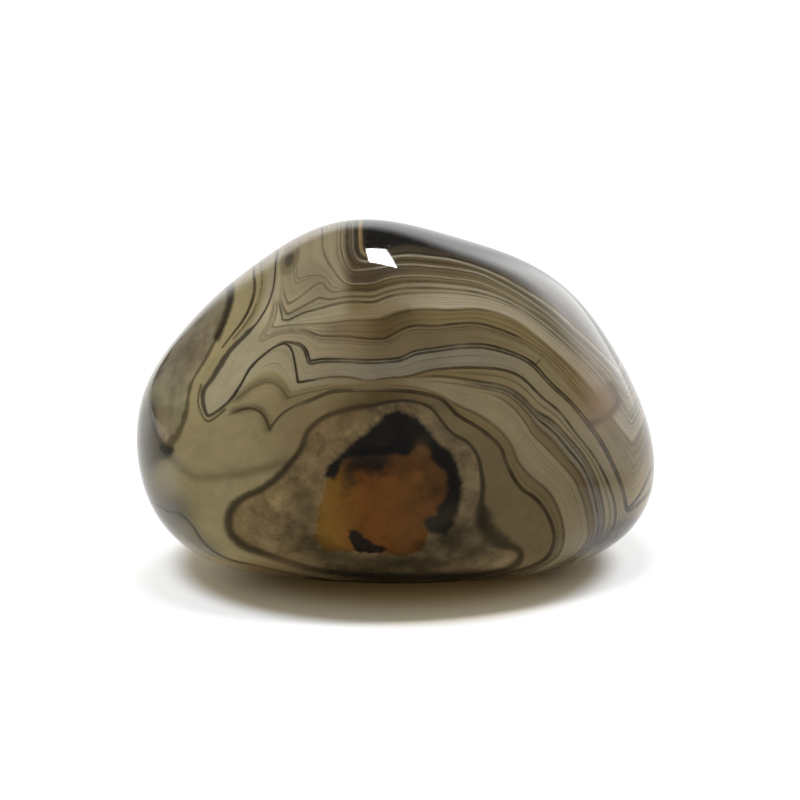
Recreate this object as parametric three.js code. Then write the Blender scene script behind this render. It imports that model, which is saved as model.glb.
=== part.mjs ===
// A tumbled and polished agate pebble, lying on its belly: one solid stone.
//
// Millimetres, +Z up. +X runs along the stone, and the broad polished face looks towards -Y, leaning
// back a little. The origin is the middle of the stone's box, at the level of what it lies on.
//
// The stone is one smooth closed form. A point (x, y, z) of the unit sphere is carried to the stone:
// x and y give the place on the broad face, z the depth in front of or behind it.

import * as THREE from "three";
import { mergeVertices } from "three/addons/utils/BufferGeometryUtils.js";

// Driving dimensions

const HALF_LENGTH = 30;
const HALF_HEIGHT = 21;
const HALF_DEPTH = 21;
const LEAN = THREE.MathUtils.degToRad(15);
const CENTRE_HEIGHT = 19.1;

// Radii of the broad face's outline, from its centre: one for every 15 degrees of the parametric angle
// of the half-length by half-height ellipse, from the right-hand end anticlockwise.
const OUTLINE_RADII = [
  28.3, 26.4, 24.9, 23.5, 21.7, 20.3, 20.8, 22.0, 22.5, 23.7, 25.5, 27.7,
  29.6, 30.6, 30.9, 29.6, 25.9, 22.3, 21.1, 22.3, 25.8, 29.8, 31.4, 30.3,
];

// The widest ring isn't plane. Its depth falls by these amounts towards the right-hand end, towards the
// top, and where both meet.
const RING_SKEW = { right: 6, top: 5.5, corner: 4 };

// The stone narrows towards the front, as if drawn to a point this far in front of its centre.
const TAPER_REACH = 400;

// The worn flat underneath meets the sides with this much rounding.
const BELLY_ROUNDING = 0.3;

const STEPS_PER_SIDE = 22;
const STONE_COLOR = "#2e281e";
const STONE_ROUGHNESS = 0.05;

/** Cosine and sine terms of the outline's swell: its radius against the plain ellipse's. */
function swellHarmonics() {
  const count = OUTLINE_RADII.length;
  const swell = OUTLINE_RADII.map((radius, i) => {
    const angle = (2 * Math.PI * i) / count;
    return radius / Math.hypot(HALF_LENGTH * Math.cos(angle), HALF_HEIGHT * Math.sin(angle));
  });
  const harmonics = [];
  for (let order = 0; order <= count / 2; order += 1) {
    const share = order === 0 || order === count / 2 ? 1 / count : 2 / count;
    let cos = 0;
    let sin = 0;
    swell.forEach((value, i) => {
      const angle = (2 * Math.PI * i * order) / count;
      cos += share * value * Math.cos(angle);
      sin += share * value * Math.sin(angle);
    });
    harmonics.push({ order, cos, sin });
  }
  return harmonics;
}

/** Swell at a point of the unit disc. Each term fades towards the middle by its own power. */
function swellAt(harmonics, x, y) {
  const angle = Math.atan2(y, x);
  const reach = Math.hypot(x, y);
  return harmonics.reduce(
    (sum, { order, cos, sin }) =>
      sum + reach ** order * (cos * Math.cos(order * angle) + sin * Math.sin(order * angle)),
    0,
  );
}

/** Height after wearing: nothing lies below zero, and the edge of the flat is rounded. */
function wear(height) {
  const short = Math.max(BELLY_ROUNDING - Math.abs(height), 0);
  return Math.max(height, 0) + (short * short) / (4 * BELLY_ROUNDING);
}

/** Carries a point of the unit sphere to the stone's surface, in place. */
function toStone(point, harmonics) {
  const { x, y, z } = point;
  const swell = swellAt(harmonics, x, y);
  const forward =
    HALF_DEPTH * z - RING_SKEW.right * x - RING_SKEW.top * y - RING_SKEW.corner * x * y;
  const taper = 1 - forward / TAPER_REACH;
  const along = HALF_LENGTH * x * swell * taper;
  const up = HALF_HEIGHT * y * swell * taper;
  point.set(
    along,
    up * Math.sin(LEAN) - forward * Math.cos(LEAN),
    wear(CENTRE_HEIGHT + up * Math.cos(LEAN) + forward * Math.sin(LEAN)),
  );
}

/** A unit sphere of six square grids with near-even steps and no poles, its shared points merged. */
function gridSphere(steps) {
  const box = new THREE.BoxGeometry(2, 2, 2, steps, steps, steps);
  box.deleteAttribute("normal");
  box.deleteAttribute("uv");
  const sphere = mergeVertices(box, 1e-4);
  const position = sphere.getAttribute("position");
  const point = new THREE.Vector3();
  for (let i = 0; i < position.count; i += 1) {
    point.fromBufferAttribute(position, i);
    point.set(...point.toArray().map((side) => Math.tan((side * Math.PI) / 4))).normalize();
    position.setXYZ(i, point.x, point.y, point.z);
  }
  return sphere;
}

function pebbleGeometry() {
  const geometry = gridSphere(STEPS_PER_SIDE);
  const harmonics = swellHarmonics();
  const position = geometry.getAttribute("position");
  const point = new THREE.Vector3();
  for (let i = 0; i < position.count; i += 1) {
    point.fromBufferAttribute(position, i);
    toStone(point, harmonics);
    position.setXYZ(i, point.x, point.y, point.z);
  }
  geometry.computeBoundingBox();
  const middle = geometry.boundingBox.getCenter(new THREE.Vector3());
  geometry.translate(-middle.x, -middle.y, 0);
  geometry.computeVertexNormals();
  return geometry;
}

const stone = new THREE.Mesh(
  pebbleGeometry(),
  new THREE.MeshStandardMaterial({
    color: STONE_COLOR,
    roughness: STONE_ROUGHNESS,
    metalness: 0,
  }),
);
stone.name = "agate_pebble";

const specimen = new THREE.Group();
specimen.add(stone);

export default specimen;
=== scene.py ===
"""A tumbled and polished agate pebble: fine closed bands, a mossy heart round an amber patch.

The stone is one piece. Its form comes from a rule run by Geometry Nodes, and its bands from seams drawn
on the plane of the broad face, carried back through the stone as nested shells. Sizes are millimetres
until a mesh is made, and metres in Blender.
"""

import logging
import math
from dataclasses import dataclass, field
from enum import Enum
from typing import Any, Protocol, Sequence

import bpy
import numpy as np
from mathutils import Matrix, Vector


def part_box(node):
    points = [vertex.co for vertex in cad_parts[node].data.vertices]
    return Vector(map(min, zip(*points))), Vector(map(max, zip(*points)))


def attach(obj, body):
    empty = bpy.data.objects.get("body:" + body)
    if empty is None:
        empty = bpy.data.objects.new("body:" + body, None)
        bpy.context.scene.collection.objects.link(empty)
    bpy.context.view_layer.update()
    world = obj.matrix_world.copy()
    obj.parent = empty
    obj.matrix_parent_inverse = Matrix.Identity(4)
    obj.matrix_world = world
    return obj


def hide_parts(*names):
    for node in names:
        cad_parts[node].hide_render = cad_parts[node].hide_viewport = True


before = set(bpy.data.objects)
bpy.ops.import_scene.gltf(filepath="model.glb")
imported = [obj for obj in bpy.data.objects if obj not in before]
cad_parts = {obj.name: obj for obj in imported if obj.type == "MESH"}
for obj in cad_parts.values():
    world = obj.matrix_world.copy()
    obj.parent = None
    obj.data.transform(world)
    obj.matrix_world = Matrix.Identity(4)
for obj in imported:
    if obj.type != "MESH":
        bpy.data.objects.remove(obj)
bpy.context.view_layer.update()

LOG = logging.getLogger("agate_pebble")
MM = 0.001
CAD_NODE = "agate_pebble"
Point = tuple[float, float]
Place = tuple[float, float, float]
Color = tuple[float, float, float]


# ---------------------------------------------------------------------------------------- node making


@dataclass(frozen=True)
class Wire:
    """One output of a node, with arithmetic that adds Math nodes."""

    bench: "Bench"
    socket: bpy.types.NodeSocket

    def math(self, operation: str, *others: "Wire | float") -> "Wire":
        """Runs a Math node on this value and the others."""
        return self.bench.math(operation, self, *others)

    def __add__(self, other: "Wire | float") -> "Wire":
        """Sum."""
        return self.math("ADD", other)

    def __radd__(self, other: float) -> "Wire":
        """Sum, reflected."""
        return self.math("ADD", other)

    def __sub__(self, other: "Wire | float") -> "Wire":
        """Difference."""
        return self.math("SUBTRACT", other)

    def __rsub__(self, other: float) -> "Wire":
        """Difference, reflected."""
        return self.bench.math("SUBTRACT", other, self)

    def __mul__(self, other: "Wire | float") -> "Wire":
        """Product."""
        return self.math("MULTIPLY", other)

    def __rmul__(self, other: float) -> "Wire":
        """Product, reflected."""
        return self.math("MULTIPLY", other)

    def __truediv__(self, other: "Wire | float") -> "Wire":
        """Quotient."""
        return self.math("DIVIDE", other)

    def __rtruediv__(self, other: float) -> "Wire":
        """Quotient, reflected."""
        return self.bench.math("DIVIDE", other, self)

    def __neg__(self) -> "Wire":
        """The negative."""
        return self.math("MULTIPLY", -1.0)

    def __abs__(self) -> "Wire":
        """The size without its sign."""
        return self.math("ABSOLUTE")

    def above(self, low: float, high: float) -> "Wire":
        """A smooth rise from 0 at low to 1 at high.

        Args:
            low: Where the rise starts.
            high: Where it ends; a high that lies under low gives a fall.
        Returns:
            The rise.
        """
        inputs = {"Value": self, "From Min": low, "From Max": high}
        if high < low:
            inputs = {"Value": self, "From Min": high, "From Max": low, "To Min": 1.0, "To Max": 0.0}
        settings = {"interpolation_type": "SMOOTHSTEP", "clamp": True}
        return self.bench.wire("ShaderNodeMapRange", settings, inputs)


class Bench:
    """Makes the nodes of one tree and joins them."""

    def __init__(self, tree: bpy.types.NodeTree) -> None:
        """Keeps the tree, which is a shader or geometry node tree."""
        self.tree = tree

    def node(
        self, kind: str, settings: dict[str, Any] | None = None, inputs: dict[Any, Any] | None = None
    ) -> bpy.types.Node:
        """Makes one node, its settings first and its sockets after.

        Args:
            kind: The node's type.
            settings: Attributes of the node. "stops" gives a color ramp's (place, color) pairs.
            inputs: Socket names or numbers, each with a value, a Wire or a socket to link.
        Returns:
            The node.
        """
        made = self.tree.nodes.new(kind)
        for name, value in (settings or {}).items():
            if name == "stops":
                self._set_stops(made.color_ramp, value)
            else:
                setattr(made, name, value)
        for key, value in (inputs or {}).items():
            self.feed(made.inputs[key], value)
        return made

    def feed(self, target: bpy.types.NodeSocket, value: Any) -> None:
        """Links a wire or socket to a target, or sets the target's value.

        Args:
            target: The socket to feed.
            value: A Wire, a socket, or a plain value; a color of three numbers gets its alpha.
        """
        if isinstance(value, Wire):
            self.tree.links.new(value.socket, target)
        elif isinstance(value, bpy.types.NodeSocket):
            self.tree.links.new(value, target)
        elif target.type == "RGBA" and len(value) == 3:
            target.default_value = (*value, 1.0)
        else:
            target.default_value = value

    def wire(
        self,
        kind: str,
        settings: dict[str, Any] | None = None,
        inputs: dict[Any, Any] | None = None,
        output: int | str = 0,
    ) -> Wire:
        """Makes a node as node() does, and gives the output of this name or number."""
        return Wire(self, self.node(kind, settings, inputs).outputs[output])

    def math(self, operation: str, *values: Wire | float) -> Wire:
        """Adds a Math node on the values, in order."""
        return self.wire("ShaderNodeMath", {"operation": operation}, dict(enumerate(values)))

    def split(self, vector: Wire) -> tuple[Wire, Wire, Wire]:
        """The X, Y and Z parts of a vector."""
        parts = self.node("ShaderNodeSeparateXYZ", None, {0: vector}).outputs
        return Wire(self, parts[0]), Wire(self, parts[1]), Wire(self, parts[2])

    def join(self, x: Wire | float, y: Wire | float, z: Wire | float = 0.0) -> Wire:
        """A vector from its parts."""
        return self.wire("ShaderNodeCombineXYZ", None, {"X": x, "Y": y, "Z": z})

    def scale(self, vector: Wire, amount: Wire | float) -> Wire:
        """A vector or a color times a number."""
        return self.wire("ShaderNodeVectorMath", {"operation": "SCALE"}, {0: vector, "Scale": amount})

    def mix(self, share: Wire | float, under: Any, over: Any) -> Wire:
        """Mixes two colors.

        Args:
            share: How much of the second shows, from 0 to 1.
            under: The color underneath.
            over: The color on top.
        Returns:
            The mixed color.
        """
        made = self.node("ShaderNodeMix", {"data_type": "RGBA", "clamp_factor": True})
        colors = [socket for socket in made.inputs if socket.type == "RGBA"]
        self.feed(made.inputs[0], share)
        self.feed(colors[0], under)
        self.feed(colors[1], over)
        return Wire(self, next(socket for socket in made.outputs if socket.type == "RGBA"))

    @staticmethod
    def _set_stops(ramp: bpy.types.ColorRamp, stops: Sequence[tuple[float, Color]]) -> None:
        """Replaces a ramp's stops.

        Args:
            ramp: The ramp.
            stops: A place and a color each, in order.
        """
        while len(ramp.elements) > 1:
            ramp.elements.remove(ramp.elements[-1])
        for number, (place, color) in enumerate(stops):
            element = ramp.elements[0] if number == 0 else ramp.elements.new(place)
            element.position = place
            element.color = (*color, 1.0)


def empty_material(name: str) -> tuple[bpy.types.Material, Bench]:
    """Makes a material with no nodes.

    Args:
        name: Its name.
    Returns:
        The material, and a bench on its tree.
    """
    material = bpy.data.materials.new(name)
    material.use_nodes = True
    material.node_tree.nodes.clear()
    return material, Bench(material.node_tree)


def add_object(name: str, data: bpy.types.ID | None) -> bpy.types.Object:
    """Makes an object and links it to the scene.

    Args:
        name: Its name.
        data: Its mesh, light or camera.
    Returns:
        The object.
    """
    made = bpy.data.objects.new(name, data)
    bpy.context.scene.collection.objects.link(made)
    return made


def read_vectors(data: bpy.types.bpy_prop_collection, name: str) -> np.ndarray:
    """Reads one vector of every item of a mesh.

    Args:
        data: The mesh's vertices, or an attribute's data.
        name: The vector's name.
    Returns:
        The vectors, one row each.
    """
    flat = np.empty(len(data) * 3, np.float32)
    data.foreach_get(name, flat)
    return flat.reshape(-1, 3)


# ------------------------------------------------------------------------------------- the stone's form


@dataclass
class PebbleForm:
    """The stone's outside: a unit sphere carried to a pebble by one smooth rule.

    A point (x, y, z) of the sphere gives a place on the broad face by x and y, and a depth by z.
    """

    half_length: float = 30.0
    half_height: float = 21.0
    half_depth: float = 21.0
    lean: float = math.radians(15.0)
    centre_height: float = 19.1
    radii: tuple[float, ...] = (
        28.3, 26.4, 24.9, 23.5, 21.7, 20.3, 20.8, 22.0, 22.5, 23.7, 25.5, 27.7,
        29.6, 30.6, 30.9, 29.6, 25.9, 22.3, 21.1, 22.3, 25.8, 29.8, 31.4, 30.3,
    )
    skew_right: float = 6.0
    skew_top: float = 5.5
    skew_corner: float = 4.0
    taper_reach: float = 400.0
    belly_rounding: float = 0.3
    steps: int = 128
    crowding: float = 0.2
    shift: Vector = field(default_factory=lambda: Vector((0.0, 0.0, 0.0)))

    def inputs(self, material: bpy.types.Material) -> dict[str, Any]:
        """The tree's named inputs.

        Args:
            material: The stone's material.
        Returns:
            The value of each input.
        """
        return {
            "Half Length": self.half_length,
            "Half Height": self.half_height,
            "Half Depth": self.half_depth,
            "Lean": self.lean,
            "Centre Height": self.centre_height,
            "Crowding": self.crowding,
            "Steps": self.steps + 1,
            "Material": material,
        }

    def swell_terms(self) -> list[tuple[float, float]]:
        """Cosine and sine terms of the outline's radius against the plain ellipse's.

        Returns:
            One pair for each order from 0.
        """
        count = len(self.radii)
        angles = np.arange(count) * 2 * np.pi / count
        plain = np.hypot(self.half_length * np.cos(angles), self.half_height * np.sin(angles))
        swell = np.array(self.radii) / plain
        terms = []
        for order in range(count // 2 + 1):
            share = (1 if order in (0, count // 2) else 2) / count
            cos = share * float(swell @ np.cos(order * angles))
            sin = share * float(swell @ np.sin(order * angles))
            terms.append((cos, sin))
        return terms

    def build_tree(self, names: Sequence[str]) -> tuple[bpy.types.NodeTree, dict[str, str]]:
        """Makes the Geometry Nodes tree of the form.

        Args:
            names: The names of the tree's inputs.
        Returns:
            The tree, and the identifier of each named input.
        """
        tree = bpy.data.node_groups.new("pebble_form", "GeometryNodeTree")
        tree.is_modifier = True
        kinds = {"Steps": "NodeSocketInt", "Material": "NodeSocketMaterial"}
        identifiers = {}
        for name in names:
            kind = kinds.get(name, "NodeSocketFloat")
            made = tree.interface.new_socket(name=name, in_out="INPUT", socket_type=kind)
            identifiers[name] = made.identifier
        tree.interface.new_socket(name="Geometry", in_out="OUTPUT", socket_type="NodeSocketGeometry")
        bench = Bench(tree)
        given = bench.node("NodeGroupInput")
        size = {name: Wire(bench, given.outputs[name]) for name in names}

        rows = {f"Vertices {axis}": size["Steps"] for axis in "XYZ"}
        grid = bench.node("GeometryNodeMeshCube", None, {"Size": (2.0, 2.0, 2.0), **rows})
        shell = self._shell(bench, size["Crowding"])
        kept = bench.node(
            "GeometryNodeStoreNamedAttribute",
            {"data_type": "FLOAT_VECTOR", "domain": "POINT"},
            {"Geometry": grid.outputs["Mesh"], "Name": "shell", "Value": shell},
        )
        formed = {"Geometry": kept.outputs[0], "Position": self._place(bench, shell, size)}
        set_place = bench.node("GeometryNodeSetPosition", None, formed)
        smooth = bench.node("GeometryNodeSetShadeSmooth", None, {0: set_place.outputs[0]})
        real = bench.node("GeometryNodeRealizeInstances", None, {0: smooth.outputs[0]})
        dress = {"Geometry": real.outputs[0], "Material": size["Material"]}
        dressed = bench.node("GeometryNodeSetMaterial", None, dress)
        bench.node("NodeGroupOutput", None, {0: dressed.outputs[0]})
        return tree, identifiers

    @staticmethod
    def _shell(bench: Bench, crowding: Wire) -> Wire:
        """Carries the grid to the unit sphere in even steps.

        Args:
            bench: The tree's bench.
            crowding: How far the points crowd towards the broad face.
        Returns:
            The sphere's points.
        """
        place = bench.wire("GeometryNodeInputPosition")
        x, y, z = [(part * (math.pi / 4)).math("TANGENT") for part in bench.split(place)]
        reach = (x * x + y * y + z * z).math("SQRT")
        flat = z / reach
        crowded = (flat + crowding) / (1.0 + flat * crowding)
        squeeze = ((1.0 - crowded * crowded) / (1.0 - flat * flat).math("MAXIMUM", 1e-9)).math("SQRT")
        return bench.join(x / reach * squeeze, y / reach * squeeze, crowded)

    def _place(self, bench: Bench, shell: Wire, size: dict[str, Wire]) -> Wire:
        """Carries the sphere's points to the stone's surface.

        Args:
            bench: The tree's bench.
            shell: The sphere's points.
            size: The tree's inputs by name.
        Returns:
            The places, in metres.
        """
        x, y, z = bench.split(shell)
        swell = self._swell(x, y)
        forward = size["Half Depth"] * z - self.skew_right * x - self.skew_top * y
        forward = forward - self.skew_corner * x * y
        taper = 1.0 - forward / self.taper_reach
        along = size["Half Length"] * x * swell * taper
        up = size["Half Height"] * y * swell * taper
        lean_cos = size["Lean"].math("COSINE")
        lean_sin = size["Lean"].math("SINE")
        height = size["Centre Height"] + up * lean_cos + forward * lean_sin
        short = (self.belly_rounding - abs(height)).math("MAXIMUM", 0.0)
        worn = height.math("MAXIMUM", 0.0) + short * short / (4.0 * self.belly_rounding)
        return bench.join(along * MM, (up * lean_sin - forward * lean_cos) * MM, worn * MM)

    def _swell(self, x: Wire, y: Wire) -> Wire:
        """The outline's swell on the face: powers of x + iy, weighted by the terms.

        Args:
            x: The sphere's X.
            y: The sphere's Y.
        Returns:
            The swell.
        """
        terms = self.swell_terms()
        total = x * terms[1][0] + y * terms[1][1] + terms[0][0]
        real, imaginary = x, y
        for cos, sin in terms[2:]:
            real, imaginary = real * x - imaginary * y, real * y + imaginary * x
            total = total + real * cos + imaginary * sin
        return total

    def build(self, material: bpy.types.Material) -> bpy.types.Object:
        """Runs the tree and gives the stone as a plain mesh at its place.

        Args:
            material: The stone's material.
        Returns:
            The stone, with its sphere points in the attribute "shell".
        """
        values = self.inputs(material)
        tree, identifiers = self.build_tree(list(values))
        carrier = add_object("pebble_carrier", bpy.data.meshes.new("pebble_carrier"))
        modifier = carrier.modifiers.new("form", "NODES")
        modifier.node_group = tree
        for name, value in values.items():
            modifier[identifiers[name]] = value
        graph = bpy.context.evaluated_depsgraph_get()
        mesh = bpy.data.meshes.new_from_object(carrier.evaluated_get(graph))
        bpy.data.objects.remove(carrier)
        mesh.name = "polished_stone"
        self._centre(mesh)
        return add_object("polished_stone", mesh)

    def _centre(self, mesh: bpy.types.Mesh) -> None:
        """Moves the mesh level so that its box stands where the CAD node's does.

        Args:
            mesh: The stone's mesh.
        """
        places = read_vectors(mesh.vertices, "co")
        low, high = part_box(CAD_NODE)
        middle = (places.min(0) + places.max(0)) / 2
        self.shift = Vector(((low.x + high.x) / 2 - middle[0], (low.y + high.y) / 2 - middle[1], 0.0))
        places[:, 0] += self.shift.x
        places[:, 1] += self.shift.y
        mesh.vertices.foreach_set("co", places.ravel())
        mesh.update()

    def face_origin(self) -> Vector:
        """Where the broad face's plane has its origin, in metres."""
        return Vector((self.shift.x, self.shift.y, self.centre_height * MM))

    def face_points(self, mesh: bpy.types.Mesh) -> tuple[np.ndarray, np.ndarray]:
        """Places on the plane of the broad face.

        Args:
            mesh: The stone's mesh, in place.
        Returns:
            Each vertex's place on the plane, in millimetres, drawn to the taper's point, and how far
            round the back it lies: 0 on the broad face's half, 1 at the middle of the back.
        """
        local = read_vectors(mesh.vertices, "co").astype(float) / MM - np.array(self.face_origin()) / MM
        depth = read_vectors(mesh.attributes["shell"].data, "vector")[:, 2].astype(float)
        up = local[:, 1] * math.sin(self.lean) + local[:, 2] * math.cos(self.lean)
        forward = local[:, 2] * math.sin(self.lean) - local[:, 1] * math.cos(self.lean)
        taper = 1 - forward / self.taper_reach
        plane = np.stack([local[:, 0] / taper, up / taper], 1)
        return plane, np.clip(-depth, 0, 1)


# ---------------------------------------------------------------------------------- the stone's pattern


@dataclass(frozen=True)
class Seam:
    """A closed line of the pattern on the plane of the broad face, in millimetres."""

    name: str
    points: tuple[Point, ...]
    corners: tuple[int, ...] = ()
    stride: float = 0.7
    most_pieces: int = 14

    def trace(self) -> np.ndarray:
        """Draws the seam as a smooth curve through its points, broken at its corners.

        Returns:
            The curve's places in order.
        """
        knots = np.array(self.points)
        count = len(knots)
        runs = []
        for number in range(count):
            start, end = knots[number], knots[(number + 1) % count]
            before, after = knots[number - 1], knots[(number + 2) % count]
            if number in self.corners:
                before = 2 * start - end
            if (number + 1) % count in self.corners:
                after = 2 * end - start
            runs.append(self._span([before, start, end, after]))
        return np.concatenate(runs)

    def _span(self, knots: Sequence[np.ndarray]) -> np.ndarray:
        """Draws the centripetal curve between the middle two of four points.

        Args:
            knots: The four points in order.
        Returns:
            Places from the second point up to, and without, the third.
        """
        before, start, end, after = knots
        marks = [0.0]
        for near, far in zip(knots, knots[1:]):
            marks.append(marks[-1] + max(math.dist(near, far) ** 0.5, 1e-6))
        pieces = min(max(2, math.ceil(math.dist(start, end) / self.stride)), self.most_pieces)
        at = np.linspace(marks[1], marks[2], pieces, endpoint=False)[:, None]

        def blend(near: Any, far: Any, low: int, high: int) -> np.ndarray:
            """Weighs two places by where each point lies between two marks."""
            return (near * (marks[high] - at) + far * (at - marks[low])) / (marks[high] - marks[low])

        first, middle, last = blend(before, start, 0, 1), blend(start, end, 1, 2), blend(end, after, 2, 3)
        return blend(blend(first, middle, 0, 2), blend(middle, last, 1, 3), 1, 2)

    def distance(self, places: np.ndarray, chunk: int = 500) -> np.ndarray:
        """Distance to the seam.

        Args:
            places: Places on the plane, one row each.
            chunk: How many are worked out at once.
        Returns:
            Millimetres from the seam, negative inside it.
        """
        start = self.trace()
        step = np.roll(start, -1, 0) - start
        square = (step**2).sum(1)
        slope = step[:, 0] / np.where(step[:, 1] == 0, 1e-12, step[:, 1])
        low = np.minimum(start[:, 1], start[:, 1] + step[:, 1])
        high = np.maximum(start[:, 1], start[:, 1] + step[:, 1])
        found = np.empty(len(places))
        for first in range(0, len(places), chunk):
            part = slice(first, first + chunk)
            level = places[part, 1:2]
            u, v = places[part, 0:1] - start[:, 0], level - start[:, 1]
            along = np.clip((u * step[:, 0] + v * step[:, 1]) / square, 0, 1)
            gap = (u - along * step[:, 0]) ** 2 + (v - along * step[:, 1]) ** 2
            crossed = (level >= low) & (level < high) & (u < v * slope)
            inside = crossed.sum(1) % 2 == 1
            found[part] = np.where(inside, -1.0, 1.0) * np.sqrt(gap.min(1))
        return found


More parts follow.
